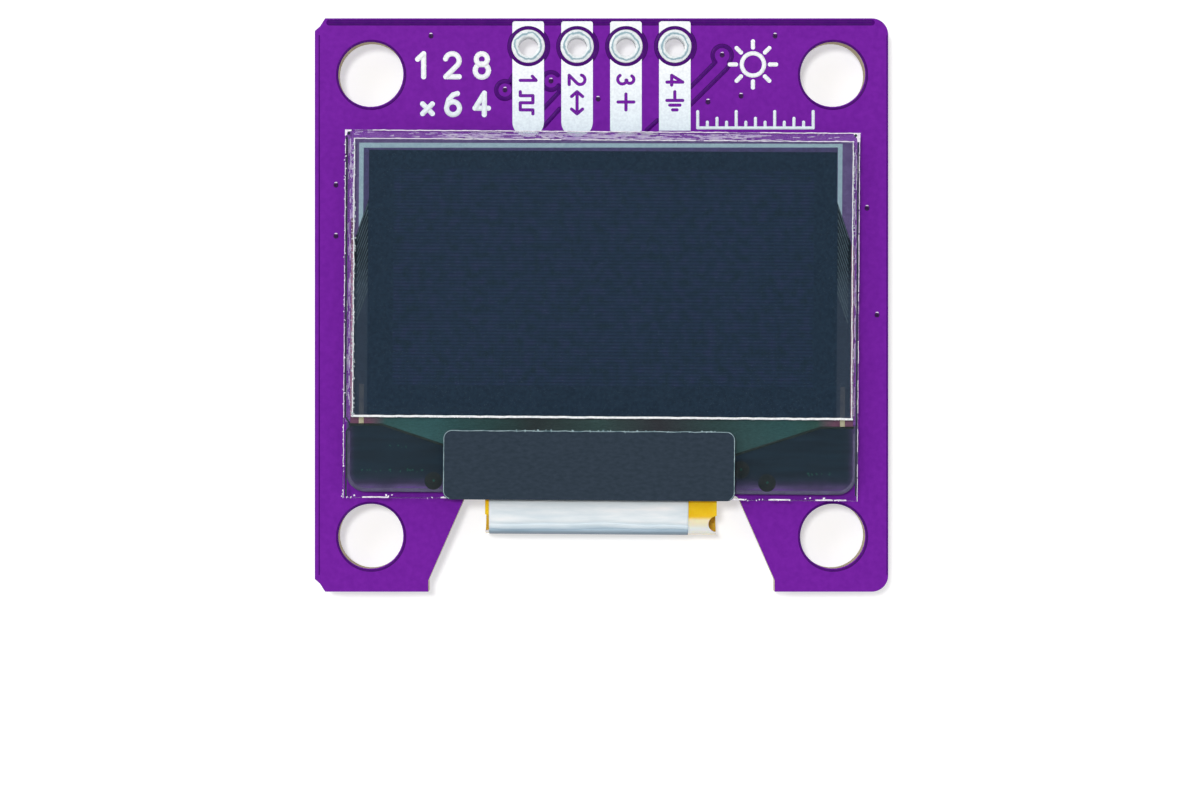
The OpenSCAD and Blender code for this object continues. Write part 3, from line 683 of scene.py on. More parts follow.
roughen(tree, shader, speckle(tree, 0.18, 3), 0.02)


def spin(name, profile, x, y, material, steps=72):
    """A closed profile of (r, z) turned round an upright axis."""
    m = len(profile)
    points = [(x + r * math.cos(k * math.tau / steps), y + r * math.sin(k * math.tau / steps), z)
              for k in range(steps) for r, z in profile]
    faces = [(k * m + i, ((k + 1) % steps) * m + i, ((k + 1) % steps) * m + (i + 1) % m,
              k * m + (i + 1) % m) for k in range(steps) for i in range(m)]
    return outward(new_mesh(name, points, faces, material, smooth=True))


def dome_height(t):
    """Height across the ring, from the bore at 0 to the rim at 1. The crest is at 0.35."""
    return 1 - (1 - t / 0.35) ** 2 * 0.5 if t < 0.35 else 1 - ((t - 0.35) / 0.65) ** 2


hole_low, hole_high = PINS[0]
RING_R = (hole_high.y - hole_low.y) / 2
RING_H = hole_high.z - BOARD_TOP
BORE_R = 0.51
for i, x in enumerate(PIN_X, 1):
    dome = [(BORE_R + (RING_R - BORE_R) * t, RING_H * dome_height(t))
            for t in [k / 12 for k in range(13)]]
    profile = [(r, BOARD_TOP + h) for r, h in dome]
    profile += [(BORE_R + 0.05, BOARD_TOP), (BORE_R + 0.05, 0)]
    profile += [(r, -h) for r, h in reversed(dome)]
    ring = spin(f"solder_ring_{i}", profile, x, PIN_Y, solder)
    radii = ring.data.attributes.new("radius_mm", "FLOAT", "POINT")
    radii.data.foreach_set("value", [math.hypot(v.co.x / MM - x, v.co.y / MM - PIN_Y)
                                     for v in ring.data.vertices])
    keep(ring, "tinned_pads", f"plated_hole_{i}")

# %% [markdown]
# ## Glass
#
# Both sheets are thin soda-lime glass. Real glass bends the light that shows the
# board through the clear margin, so the shader is a true refracting one. Lamps would
# be shut out by it, though, because a shadow ray doesn't bend: for shadow rays, and
# for the rays that gather soft light, the glass is plainly see-through. The sheets stop
# two microns short of what they are stuck to, so that no two surfaces coincide.


# %% Display glass
def clear_to_lamps(material, tree, shader, tint):
    """Lets light through by making shadow and gathering rays pass straight on."""
    through = add(tree, "ShaderNodeBsdfTransparent", {"Color": tint})
    kind = add(tree, "ShaderNodeLightPath").outputs
    light = add(tree, "ShaderNodeMath", {
        0: kind["Is Shadow Ray"], 1: kind["Is Diffuse Ray"]}, operation="MAXIMUM").outputs[0]
    both = add(tree, "ShaderNodeMixShader", {
        0: light, 1: shader.outputs["BSDF"], 2: through.outputs["BSDF"]})
    tree.links.new(both.outputs["Shader"], tree.nodes["Material Output"].inputs["Surface"])
    return material


glass, tree, shader = finish("soda-lime sheet glass", Roughness=0.0, IOR=1.52,
                             Transmission_Weight=1.0)
shader.inputs["Base Color"].default_value = linear("#fcfefd")
clear_to_lamps(glass, tree, shader, linear("#fdfefe"))

CLEAR = 0.002


def sheet(name, u0, v0, u1, v1, z0, z1, material, bevel=0.0):
    piece = prism(name, panel_path(rectangle(u0, v0, u1, v1)), z0, z1, material)
    if bevel:
        soften(piece, bevel)
    return piece


gu0, gv0, gu1, gv1 = panel_span("front_glass")
# The left edges of the glass and of the film stand a hair further out than the solids'
LEFT_SPARE, FILM_LEFT_SPARE = 0.09, 0.07
gu0 -= LEFT_SPARE
front_sheet = sheet("front_sheet", gu0, gv0, gu1, gv1, UNDER_GLASS_Z + CLEAR, FRONT_Z, glass, 0.04)
keep(front_sheet, "display_glass", "front_glass")

rear_low, rear_high = box_mm("rear_glass")
ru0, rv0, ru1, rv1 = panel_span("rear_glass")
rear_sheet = sheet("rear_sheet", ru0, rv0, ru1, rv1, rear_low.z + CLEAR, rear_high.z - CLEAR,
                   glass, 0.03)
keep(rear_sheet, "display_glass", "rear_glass")

# %% [markdown]
# ## Films and seal behind the glass
#
# The light-emitting film is nearly black, with a faint blue where its rows and columns
# cross. A bead of pale resin joins the sheets round it. Above them lies the polarizing
# film, which takes a little light from everything below it and adds its own gloss, so
# the colours below are written with that in mind.

# %% Pixel film, rim and seal
film_dark = two_tone("evaporated metal film on glass", "#192e42", "#253b50", 0.14, 3,
                     places=(0.35, 0.65), Roughness=0.4)
seal_resin = two_tone("cured edge seal", "#a4c1d1", "#b3cfdb", 0.2, 2, Roughness=0.4)
rim_haze = two_tone("electrode rim on glass", "#4b476e", "#585484", 0.2, 2, Roughness=0.4)
outer_haze = two_tone("glass margin beyond the seal", "#645386", "#756698", 0.2, 2, Roughness=0.4)
dress("pixel_film", film_dark)
dress("edge_seal", seal_resin)


def frame_sheet(name, outer, inner, z0, z1, material):
    """A flat frame between two rectangles, each (u0, v0, u1, v1)."""
    corners = panel_path(rectangle(*outer) + rectangle(*inner))
    points = [(x, y, z) for z in (z0, z1) for x, y in corners]
    faces = []
    for i in range(4):
        j = (i + 1) % 4
        faces += [(8 + i, 8 + j, 12 + j, 12 + i), (j, i, 4 + i, 4 + j),
                  (i, j, 8 + j, 8 + i), (4 + j, 4 + i, 12 + i, 12 + j)]
    return outward(new_mesh(name, points, faces, material))


fu1 = panel_span("pixel_film")[2]
su0, sv0, su1, sv1 = panel_span("edge_seal")
pu0, pv0, pu1, pv1 = panel_span("polarizer")
pu0 -= FILM_LEFT_SPARE
FAN_TOP, FAN_SLOPE = 5.89, 2.907


def fan_v(u):
    """Where the side traces begin, which slants down towards the edge."""
    return FAN_TOP - (abs(u) - fu1) * FAN_SLOPE


def arch(name, outer, inner, z0, z1, material):
    """A band up the left, along the top and down the right. Each edge is (u0, v_left,
    v_right, u1), and its feet stand on the line where the side traces begin."""
    rings = []
    for u0, v_left, v_right, u1 in (outer, inner):
        rings.append([(u0, fan_v(u0)), (u0, v_left), (u1, v_right), (u1, fan_v(u1))])
    parts = [prism(name, [on_panel(u, v) for u, v in (
        rings[0][k], rings[1][k], rings[1][k + 1], rings[0][k + 1])], z0, z1, material)
        for k in range(3)]
    return [outward(part) for part in parts]


FILM_TOP_EDGE = (-12.12, 8.495, 8.53, 12.095)
SEAL_INNER = (-12.4, 8.6, 8.778, 12.13)
SEAL_OUTER = (-12.629, 8.853, 8.966, 12.365)
LAYER_Z0, LAYER_Z1 = 2.3003, 2.3008
rim = arch("electrode_rim", SEAL_INNER, FILM_TOP_EDGE, LAYER_Z0, LAYER_Z1, rim_haze)
bead = arch("seal_bead", SEAL_OUTER, SEAL_INNER, LAYER_Z0, LAYER_Z1, seal_resin)
bead += arch("outer_band", (pu0, pv1, pv1, pu1), SEAL_OUTER, LAYER_Z0, LAYER_Z1, outer_haze)
margin = frame_sheet("seal_margin", (pu0, rv0 + 0.02, pu1, pv1), (su0, sv0 + 0.05, su1, sv1),
                     2.268, 2.276, outer_haze)
print("seal band:", round(SEAL_INNER[0] - SEAL_OUTER[0], 3), "mm")
keep(join("electrode_rim", rim), "pixel_film")
keep(join("seal_bead", bead), "seal_resin")
keep(margin, "seal_resin")

# %% [markdown]
# Outside the polarizer the two sheets are bare. There the purple board is lightened to
# pinkish white by painted light, in streaks along the cut. A sheet that lets most of
# the light through is the veil, and fine strips are the streaks.

# %% Veil in the clear margin
veil = two_tone("pale veil of painted light", "#ad74dc", "#cf9cf2", 0.5, 4, Roughness=0.6,
                Alpha=0.16)
streak = two_tone("pale streaks of painted light", "#dcc2f6", "#ffffff", 0.3, 4, Roughness=0.6, Alpha=0.6)
veil_sheet = frame_sheet("veil", (gu0 + 0.06, rv0 + 0.03, gu1 - 0.06, gv1 - 0.06),
                         (pu0, rv0 + 0.02, pu1, pv1), 2.262, 2.266, veil)
rng = random.Random(8)
streak_paths = []


def streaks(count, u0, u1, v0, v1, longest):
    """Short level streaks in a part of the top margin."""
    for _ in range(count):
        u, v = rng.uniform(u0, u1), rng.uniform(v0, v1)
        streak_paths.append([(u, v), (u + rng.uniform(0.08, longest),
                                      v + rng.uniform(-0.03, 0.03))])


streaks(320, -8.4, 8.2, pv1 + 0.02, gv1 - 0.06, 0.8)
streaks(110, gu0 + 0.4, gu1 - 0.6, pv1 + 0.02, gv1 - 0.06, 0.4)
for k in range(190):
    side = pu0 - 0.2 if k % 2 else pu1 + 0.17
    v = rng.uniform(rv0 + 0.5, gv1 - 0.8)
    u = side + rng.uniform(-0.13, 0.13)
    streak_paths.append([(u, v), (u + rng.uniform(-0.03, 0.03), v + rng.uniform(0.1, 0.8))])
streak_strips = strips("streaks", panel_paths(streak_paths),
                       2.2655, 0.032, 0.0005, streak, 0.000002)
# A reddish strip runs down beside the polarizer's left edge.
blush = two_tone("reddish strip beside the polarizer", "#7c4468", "#a8808c", 0.4, 3, squash=(3, 1, 1),
                 Roughness=0.6, Alpha=0.45)
blush_strip = strips("blush", panel_paths([[(pu0 - 0.1, 4.9), (pu0 - 0.1, -5.2)]]),
                     2.2665, 0.13, 0.0005, blush)
keep(join("margin_veil", [veil_sheet, streak_strips, blush_strip]), "display_glass")

# %% [markdown]
# The picture area is a grid: 64 rows of light-emitting dots and 128 columns. Even
# switched off, the gaps between the metal rows show as the finest horizontal lines. A
# tree lays a row of equal bars, one for each line, so that the count and the pitch are
# two numbers. The bars are a micron thick, between the film and the glass.

# %% Rows and columns of the picture
LADDER, inputs = group_with("row of equal bars", [
    ("Count", "NodeSocketInt", 8), ("Pitch", "NodeSocketFloat", 0.0002),
    ("Length", "NodeSocketFloat", 0.01), ("Width", "NodeSocketFloat", 0.0001),
    ("Thickness", "NodeSocketFloat", 0.000001), ("Material", "NodeSocketMaterial", None)])
offset = add(LADDER, "ShaderNodeCombineXYZ", {"Y": inputs["Pitch"]})
line = add(LADDER, "GeometryNodeMeshLine", {
    "Count": inputs["Count"], "Offset": offset.outputs[0]}, mode="OFFSET")
size = add(LADDER, "ShaderNodeCombineXYZ", {
    "X": inputs["Length"], "Y": inputs["Width"], "Z": inputs["Thickness"]})
bar = add(LADDER, "GeometryNodeMeshCube", {"Size": size.outputs[0]})
placed = add(LADDER, "GeometryNodeInstanceOnPoints", {
    "Points": line.outputs["Mesh"], "Instance": bar.outputs["Mesh"]})
close_tree(LADDER, placed.outputs["Instances"], inputs["Material"])


def mottled(name, teal, blue, violet):
    """Thin-film colour that wanders from teal to violet over half a millimetre."""
    made, tree, shader = finish(name, Roughness=0.4)
    tree.links.new(ramp(tree, speckle(tree, 0.45, 6), [(0.32, teal), (0.5, blue), (0.68, violet)]),
                   shader.inputs["Base Color"])
    return made


row_blue = mottled("metal rows on glass", "#1e3545", "#253a55", "#303b5f")
column_blue = mottled("clear columns on glass", "#172e3b", "#1c2f46", "#242f4d")

ACTIVE_U, ACTIVE_V = 0.04, 1.945
ACTIVE_W, ACTIVE_H = 21.74, 11.2
FILM_Z = 2.3
THIN = 0.0008


def ladder(name, count, pitch, length, width, z, material, turned=False):
    """Bars across the picture area, in the display's own frame."""
    seed = new_object(name, bpy.data.meshes.new(name))
    made = grow(name, seed, LADDER, Count=count, Pitch=pitch * MM, Length=length * MM,
                Width=width * MM, Thickness=THIN * MM, Material=material)
    start = Matrix.Translation((0, -pitch * (count - 1) / 2 * MM, 0))
    quarter = Matrix.Rotation(math.radians(90) if turned else 0, 4, "Z")
    x, y = on_panel(ACTIVE_U, ACTIVE_V)
    made.data.transform(Matrix.Translation((x * MM, y * MM, z * MM))
                        @ Matrix.Rotation(panel_turn, 4, "Z") @ quarter @ start)
    return made


rows = ladder("picture_rows", 64, ACTIVE_H / 64, ACTIVE_W, 0.1, FILM_Z + 0.0014, row_blue)
columns = ladder("picture_columns", 128, ACTIVE_W / 128, ACTIVE_H, 0.1, FILM_Z + 0.0006,
                 column_blue, turned=True)
keep(join("picture_grid", [rows, columns]), "pixel_film")

# %% [markdown]
# ## Traces on the ledge
#
# Clear, thinly metallised traces run down both sides of the seal and across the ledge
# to the driver chip. Too fine to see one by one, they split the light: the sheet of
# them looks green towards its ends, brown in the middle, and red beside the corners.
# The sealant behind the ledge is nearly black. It thins out at its own edge, and there
# the purple below shows through.


# %% Trace and sealant colours
def panel_coordinates(tree):
    """u and v in millimetres, from the object's own coordinates."""
    place = add(tree, "ShaderNodeTexCoord").outputs["Object"]
    shifted = add(tree, "ShaderNodeVectorMath", {
        0: place, 1: (panel_mid.x * MM, panel_mid.y * MM, 0)}, operation="SUBTRACT")
    turned = add(tree, "ShaderNodeVectorRotate", {
        "Vector": shifted.outputs[0], "Angle": -panel_turn}, rotation_type="Z_AXIS")
    scaled = add(tree, "ShaderNodeVectorMath", {
        0: turned.outputs[0], "Scale": 1 / MM}, operation="SCALE")
    split = add(tree, "ShaderNodeSeparateXYZ", {"Vector": scaled.outputs[0]})
    return split.outputs["X"], split.outputs["Y"]


def maths(tree, operation, a, b=0.0):
    return add(tree, "ShaderNodeMath", {0: a, 1: b}, operation=operation).outputs[0]


traces_tint, tree, shader = finish("traces of clear metal oxide", Roughness=0.35)
u, v = panel_coordinates(tree)
along = maths(tree, "DIVIDE", maths(tree, "ADD", u, 13.3), 26.6)
wavering = maths(tree, "ADD", along, maths(tree, "MULTIPLY", maths(
    tree, "SUBTRACT", speckle(tree, 1.6, 2, squash=(1, 3, 1)), 0.5), 0.035))
TRACE_STOPS = [(0.0, "#7a506a"), (0.052, "#764e65"), (0.08, "#375d5d"), (0.17, "#386063"),
               (0.29, "#355252"), (0.37, "#343d3f"), (0.5, "#3f5756"), (0.61, "#3d3e45"),
               (0.72, "#3a5253"), (0.86, "#33585a"), (0.912, "#355852"), (0.95, "#764e65"),
               (1.0, "#7a506a")]
band = ramp(tree, wavering, TRACE_STOPS)
fine = ramp(tree, speckle(tree, 0.16, 3, squash=(1, 4, 1)), [(0.3, "#d4d4d4"), (0.7, "#ffffff")])
beside = spread(tree, v, sv0 + 0.2, sv0 + 0.45)
lower_side = spread(tree, v, 1.2, 2.8)
side = ramp(tree, lower_side, [(0.0, "#3e4c60"), (1.0, "#182833")])
whole_band = blend(tree, beside, band, side)
uncovered = maths(tree, "MULTIPLY", maths(
    tree, "GREATER_THAN", maths(tree, "ABSOLUTE", u), 12.86), maths(
    tree, "GREATER_THAN", v, sv0 + 0.3))
clear_strip = blend(tree, uncovered, whole_band, linear("#ac789a"))
tree.links.new(blend(tree, 1.0, clear_strip, fine, "MULTIPLY"), shader.inputs["Base Color"])
dress("glass_traces", traces_tint)

sealant_dark, tree, shader = finish("black sealing resin", Roughness=0.45)
seal_u0, seal_v0, seal_u1, _ = panel_span("ledge_sealant")
SEALANT_R = 0.9
u, v = panel_coordinates(tree)
across = maths(tree, "MULTIPLY", 1.5, maths(
    tree, "SUBTRACT", maths(tree, "ABSOLUTE", u), seal_u1 - SEALANT_R / 1.5))
down = maths(tree, "SUBTRACT", seal_v0 + SEALANT_R, v)
reach = maths(tree, "SQRT", maths(
    tree, "ADD", maths(tree, "POWER", maths(tree, "MAXIMUM", across, 0.0), 2.0),
    maths(tree, "POWER", maths(tree, "MAXIMUM", down, 0.0), 2.0)))
within = maths(tree, "MINIMUM", maths(tree, "MAXIMUM", across, down), 0.0)
edge = maths(tree, "ADD", maths(tree, "ADD", reach, within), maths(
    tree, "MULTIPLY", maths(tree, "SUBTRACT", speckle(tree, 1.1, 3), 0.5), 0.5))
resin = ramp(tree, spread(tree, edge, SEALANT_R - 1.0, SEALANT_R), [
    (0.0, "#172b3a"), (0.35, "#212f40"), (0.65, "#3a3656"), (0.85, "#534770"), (1.0, "#664590")])
lines = ramp(tree, speckle(tree, 0.3, 3, squash=(0.12, 1, 1)), [
    (0.3, "#d2d2d2"), (0.7, "#ffffff")])
tree.links.new(blend(tree, 1.0, resin, lines, "MULTIPLY"), shader.inputs["Base Color"])
dress("ledge_sealant", sealant_dark)

sealant_rim = two_tone("thin rim of the sealant", "#524b6a", "#615a7b", 0.3, 3, Roughness=0.5)
rim_u, rim_v = seal_u1 - 0.1, seal_v0 - 0.02
rim_path = [(-rim_u, sv0 - 0.5), *arc(-rim_u + SEALANT_R, rim_v + SEALANT_R, SEALANT_R, 180, 270),
            *arc(rim_u - SEALANT_R, rim_v + SEALANT_R, SEALANT_R, 270, 360), (rim_u, sv0 - 0.5)]
sealant_rim_made = strips("sealant_rim", panel_paths([rim_path]),
                          2.2999, 0.2, 0.0008, sealant_rim)
print("sealant:", round(seal_u1 - seal_u0, 2), "mm wide")

# %% [markdown]
# A few marks lie in the same thin layer: a dark line where the traces end, three round
# marks used to line up the chip as it is bonded, two cream contact bars, and the
# slanting lines at the sides where the outermost traces leave the seal.

# %% Marks in the trace layer
dark_line = two_tone("shadow line of the trace edge", "#192425", "#243131", 0.4, Roughness=0.5)
mark_brown = two_tone("bonding mark in thin metal", "#1c2629", "#2a2d2f", 0.25, Roughness=0.35)
mark_teal = two_tone("clear centre of a bonding mark", "#193f3a", "#24524c", 0.25, Roughness=0.35)
cream = two_tone("contact bar in pale metal", "#aaa384", "#c1bb9e", 0.2, Roughness=0.4)
cream_covered = two_tone("contact bar under the polarizer", "#474d5d", "#575d65", 0.4,
                         Roughness=0.4)
hatch_pale = two_tone("slanting traces beside the seal", "#42545e", "#5a6d7a", 0.2, Roughness=0.4)


MARK_Z = FILM_Z + 0.0003
root_v = sv0
LEDGE_TRACE, DRIVER_TRACE, TRACE_DROP = 11.2, 5.9, 1.83
UNDERCUT = 0.11
borders = [[(s * 13.0, root_v - UNDERCUT), (s * (LEDGE_TRACE + 0.15), root_v - UNDERCUT),
            (s * DRIVER_TRACE, root_v - TRACE_DROP - 0.06)] for s in (-1, 1)]
wedges = []
for s in (-1, 1):
    outline = [(s * 13.0, root_v), (s * LEDGE_TRACE, root_v),
               (s * DRIVER_TRACE, root_v - TRACE_DROP), *reversed(borders[0 if s < 0 else 1])]
    outline = outline if s < 0 else outline[::-1]
    wedges.append(prism("trace_wedge", panel_path(outline[::-1]), FILM_Z + 0.0001,
                        FILM_Z + 0.0002, traces_tint))
border_made = strips("trace_border", panel_paths(borders), MARK_Z, 0.13, 0.001, dark_line, 0)


def disc(name, u, v, r, z0, z1, material):
    x, y = on_panel(u, v)
    return prism(name, arc(x, y, r, 0, 360 - 360 / 28, 27), z0, z1, material)


def from_board(x, y):
    """A place in the part's frame, as u and v."""
    dx, dy = x - panel_mid.x, y - panel_mid.y
    return dx * COS + dy * SIN, dy * COS - dx * SIN


spots = []
for x, y in ((-8.70, -9.12), (8.56, -9.23), (7.2, -8.55)):
    u, v = from_board(x, y)
    spots.append(disc("mark", u, v, 0.46, MARK_Z, MARK_Z + 0.0008, mark_brown))
    spots.append(disc("mark_middle", u + 0.02, v + 0.02, 0.065, MARK_Z + 0.0009, MARK_Z + 0.0013,
                      mark_teal))
bar_l, bar_r = -12.43, 12.46
contact_bars = [prism("contact", panel_path(rectangle(c - 0.125, a, c + 0.125, b)),
                      MARK_Z, MARK_Z + 0.001, m)
                for c in (bar_l, bar_r) for a, b, m in (
                    (root_v - UNDERCUT + 0.03, root_v + 0.36, cream),
                    (root_v + 0.36, root_v + 2.0, cream_covered))]
HATCH_COUNT, HATCH_TOP, HATCH_STEP = 14, 5.7, 0.34
hatching = []
for side in (-1, 1):
    for k in range(HATCH_COUNT):
        v = HATCH_TOP - HATCH_STEP * k
        hatching.append([(side * 12.16, v), (side * 12.7, v - 0.54 * FAN_SLOPE)])
hatch_made = strips("side_traces", panel_paths(hatching), MARK_Z, 0.05, 0.0006, hatch_pale, 0)
marks_below = [border_made, sealant_rim_made, *wedges, *spots, *contact_bars, hatch_made]

# %% [markdown]
# ## The polarizing film
#
# A polarizer is a sheet of stretched, dyed plastic stuck on the front glass. A real one
# soaks up half of the light on the way in and more on the way out. Here most of that
# darkness is in the colours under it, and the sheet itself is thin and nearly clear. It
# doesn't bend light, so plain transparency by alpha, under a smooth gloss, will do.

# %% Polarizer sheet
polarizer_film = two_tone("polarizing film, low-glare", "#141a21", "#191f28", 3.0, 2,
                          bump=(0.08, 2, 0.0006), Roughness=0.22, IOR=1.45, Alpha=0.1,
                          Specular_IOR_Level=0.5)
POLAR_TOP = box_mm("polarizer")[1].z
polarizer_sheet = sheet("polarizer_sheet", pu0, pv0, pu1, pv1, FRONT_Z + CLEAR, POLAR_TOP,
                        polarizer_film, 0.03)
keep(polarizer_sheet, "polarizer_film", "polarizer")

# %% [markdown]
# The film was cut with a blade and left with frayed edges, which scatter light and look
# white. The glass was scored and snapped, so a broken line of tiny chips runs along its
# edges. A second tree scatters irregular five-sided crumbs along a path, with sizes
# and offsets from a fixed seed. Five sides are enough for something a tenth of a
# millimetre wide.

# %% Crumbs along a cut
CRUMBS, inputs = group_with("crumbs along a path", [
    ("Spacing", "NodeSocketFloat", 0.0001), ("Size", "NodeSocketFloat", 0.00005),
    ("Stray", "NodeSocketFloat", 0.00005), ("Share", "NodeSocketFloat", 0.7),
    ("Height", "NodeSocketFloat", 0.00001), ("Seed", "NodeSocketInt", 1),
    ("Material", "NodeSocketMaterial", None)])
points = add(CRUMBS, "GeometryNodeCurveToPoints", {
    "Curve": inputs["Geometry"], "Length": inputs["Spacing"]}, mode="LENGTH")
low = add(CRUMBS, "ShaderNodeVectorMath", {0: (-1, -1, 0)}, operation="SCALE")
CRUMBS.links.new(inputs["Stray"], low.inputs["Scale"])
high = add(CRUMBS, "ShaderNodeVectorMath", {0: (1, 1, 0)}, operation="SCALE")
CRUMBS.links.new(inputs["Stray"], high.inputs["Scale"])
drift = add(CRUMBS, "FunctionNodeRandomValue", {
    "Min": low.outputs[0], "Max": high.outputs[0], "Seed": inputs["Seed"]},
    data_type="FLOAT_VECTOR")
moved = add(CRUMBS, "GeometryNodeSetPosition", {
    "Geometry": points.outputs["Points"], "Offset": drift.outputs[0]})
crumb = add(CRUMBS, "GeometryNodeMeshCylinder", {
    "Vertices": 5, "Radius": inputs["Size"], "Depth": inputs["Height"]})
chosen = add(CRUMBS, "FunctionNodeRandomValue", {"Seed": inputs["Seed"]}, data_type="BOOLEAN")
CRUMBS.links.new(inputs["Share"], chosen.inputs["Probability"])
turn = add(CRUMBS, "FunctionNodeRandomValue", {
    "Min": (0, 0, 0), "Max": (0, 0, 6.28), "Seed": inputs["Seed"]}, data_type="FLOAT_VECTOR")
stretch = add(CRUMBS, "FunctionNodeRandomValue", {
    "Min": (0.5, 0.35, 0.6), "Max": (1.7, 1.1, 1), "Seed": inputs["Seed"]},
    data_type="FLOAT_VECTOR")
placed = add(CRUMBS, "GeometryNodeInstanceOnPoints", {
    "Points": moved.outputs["Geometry"], "Instance": crumb.outputs["Mesh"],
    "Selection": chosen.outputs[3], "Rotation": turn.outputs[0], "Scale": stretch.outputs[0]})
close_tree(CRUMBS, placed.outputs["Instances"], inputs["Material"])


def crumbs(name, paths, z_mm, spacing, size, stray, share, seed, material, height=0.012):
    path = curve_object(name + "_path", panel_paths(paths), z_mm + height / 2)
    return grow(name, path, CRUMBS, Spacing=spacing * MM, Size=size * MM, Stray=stray * MM,
                Share=share, Height=height * MM, Seed=seed, Material=material)


smudges = [[(-11.2, -6.75), (-9.9, -6.85)], [(-12.4, -8.1), (-9.3, -8.1)],
           [(10.2, -8.2), (11.9, -8.1)]]
smudge_made = crumbs("trace_smudges", smudges, MARK_Z, 0.11, 0.06, 0.07, 0.45, 9, mark_teal,
                     height=0.0006)
keep(join("ledge_marks", [*marks_below, smudge_made]), "glass_traces")
print("crumb tree:", len(CRUMBS.nodes), "nodes")

# %% Frayed edge of the polarizer
frayed = two_tone("frayed edge of cut film", "#dde3e6", "#ffffff", 0.12, 3, Roughness=0.6)
dull_fray = two_tone("dull fray of cut film", "#8f9da3", "#c9d3d6", 0.12, 3, Roughness=0.6)


def wander(start, end, step, swing, seed):
    """A path between two places that strays a little from side to side."""
    rng = random.Random(seed)
    (u0, v0), (u1, v1) = start, end
    length = math.hypot(u1 - u0, v1 - v0)
    n = max(2, round(length / step))
    nu, nv = -(v1 - v0) / length, (u1 - u0) / length
    path = []
    for i in range(n + 1):
        t = i / n
        s = swing * rng.uniform(-1, 1) if 0 < i < n else 0
        path.append((u0 + (u1 - u0) * t + nu * s, v0 + (v1 - v0) * t + nv * s))
    return path


def broken(start, end, share, longest, seed):
    """Dashes of uneven length between two places."""
    rng = random.Random(seed)
    (u0, v0), (u1, v1) = start, end
    length = math.hypot(u1 - u0, v1 - v0)
    paths, at = [], 0.0
    while at < length:
        dash = rng.uniform(0.15, 1) * longest
        end_at = min(at + dash, length)
        if rng.random() < share:
            a, b = at / length, end_at / length
            paths.append(wander((u0 + (u1 - u0) * a, v0 + (v1 - v0) * a),
                                (u0 + (u1 - u0) * b, v0 + (v1 - v0) * b), 0.2, 0.015,
                                rng.randrange(10 ** 6)))
        at = end_at + rng.uniform(0.05, 0.4) * longest * (1 - share)
    return paths


LINE_Z = POLAR_TOP - 0.004
CUTS = [("fray_bottom", (pu0, pv0 + 0.04), (pu1, pv0 + 0.04), 0.012, 3, 0.11, 0.008),
        ("fray_right", (pu1 - 0.03, pv0), (pu1 - 0.03, pv1), 0.012, 4, 0.05, 0.007),
        ("fray_left", (pu0 + 0.02, pv0), (pu0 + 0.02, pv1), 0.014, 5, 0.055, 0.007)]
frays = [strips(name, panel_paths([wander(start, end, 0.3, swing, seed)]), LINE_Z, width, height,
                frayed) for name, start, end, swing, seed, width, height in CUTS]
frays.append(strips("fray_top", panel_paths(broken((pu0, pv1), (pu1, pv1), 0.9, 1.6, 6)),
                    LINE_Z, 0.036, 0.007, frayed))
for name, start, end, spacing, size, stray, share, seed, material in (
        ("left", (pu0, pv0), (pu0, pv1), 0.05, 0.045, 0.09, 0.5, 11, dull_fray),
        ("right", (pu1, pv0), (pu1, pv1), 0.07, 0.035, 0.05, 0.45, 12, dull_fray),
        ("bottom", (pu0, pv0 + 0.02), (pu1, pv0 + 0.02), 0.12, 0.04, 0.03, 0.5, 13, frayed)):
    frays.append(crumbs(f"fray_{name}_crumbs", [[start, end]], LINE_Z, spacing, size, stray,
                        share, seed, material))
keep(join("frayed_edges", frays), "polarizer_film")

# %% Snapped edge of the glass
chipped = two_tone("snapped glass edge", "#cfc6d8", "#fdfbff", 0.2, 3, Roughness=0.5)
painted_edge_shade = two_tone("painted shade in the glass's green edge", "#0d1a1e", "#20393b", 0.5, 3, Roughness=0.4)
GLASS_LINE_Z = FRONT_Z - 0.004
SNAPPED = [
    ("edge_left", (gu0 + 0.03, gv0), (gu0 + 0.03, gv1), 0.8, 1.4, 21, 0.034),
    ("edge_right", (gu1 - 0.03, gv0), (gu1 - 0.03, gv1), 0.72, 1.2, 22, 0.032),
    ("edge_top", (gu0, gv1 - 0.02), (gu1, gv1 - 0.02), 0.93, 1.5, 23, 0.05),
    ("edge_bottom", (gu0, gv0 + 0.04), (gu1, gv0 + 0.04), 0.55, 1.3, 24, 0.075)]
edge_made = [strips(name, panel_paths(broken(start, end, share, longest, seed)), GLASS_LINE_Z,
                    width, 0.007, chipped)
             for name, start, end, share, longest, seed, width in SNAPPED]
edge_made += [
    crumbs("edge_bottom_crumbs", [[(gu0, gv0 + 0.07), (gu1, gv0 + 0.07)]], GLASS_LINE_Z,
           0.2, 0.05, 0.09, 0.35, 25, chipped),
    crumbs("edge_left_crumbs", [[(gu0 + 0.02, gv0), (gu0 + 0.02, gv1)]], GLASS_LINE_Z,
           0.2, 0.04, 0.05, 0.4, 26, chipped),
    # Dark lines just inside the left and right edges are painted shade, in the glass's own green.
    strips("edge_shade_left", panel_paths([[
        (gu0 + 0.17, gv0 + 0.1), (gu0 + 0.17, root_v - 0.47), (gu0 + 0.37, root_v - 0.21),
        (gu0 + 0.37, root_v - 0.08), (gu0 + 0.12, root_v + 0.28), (gu0 + 0.11, gv1 - 0.4)]]),
        GLASS_LINE_Z, 0.08, 0.006, painted_edge_shade),
    strips("edge_shade_right", panel_paths([[(gu1 - 0.11, gv0 + 0.3), (gu1 - 0.11, gv1 - 0.4)]]),
           GLASS_LINE_Z, 0.07, 0.006, painted_edge_shade),
]
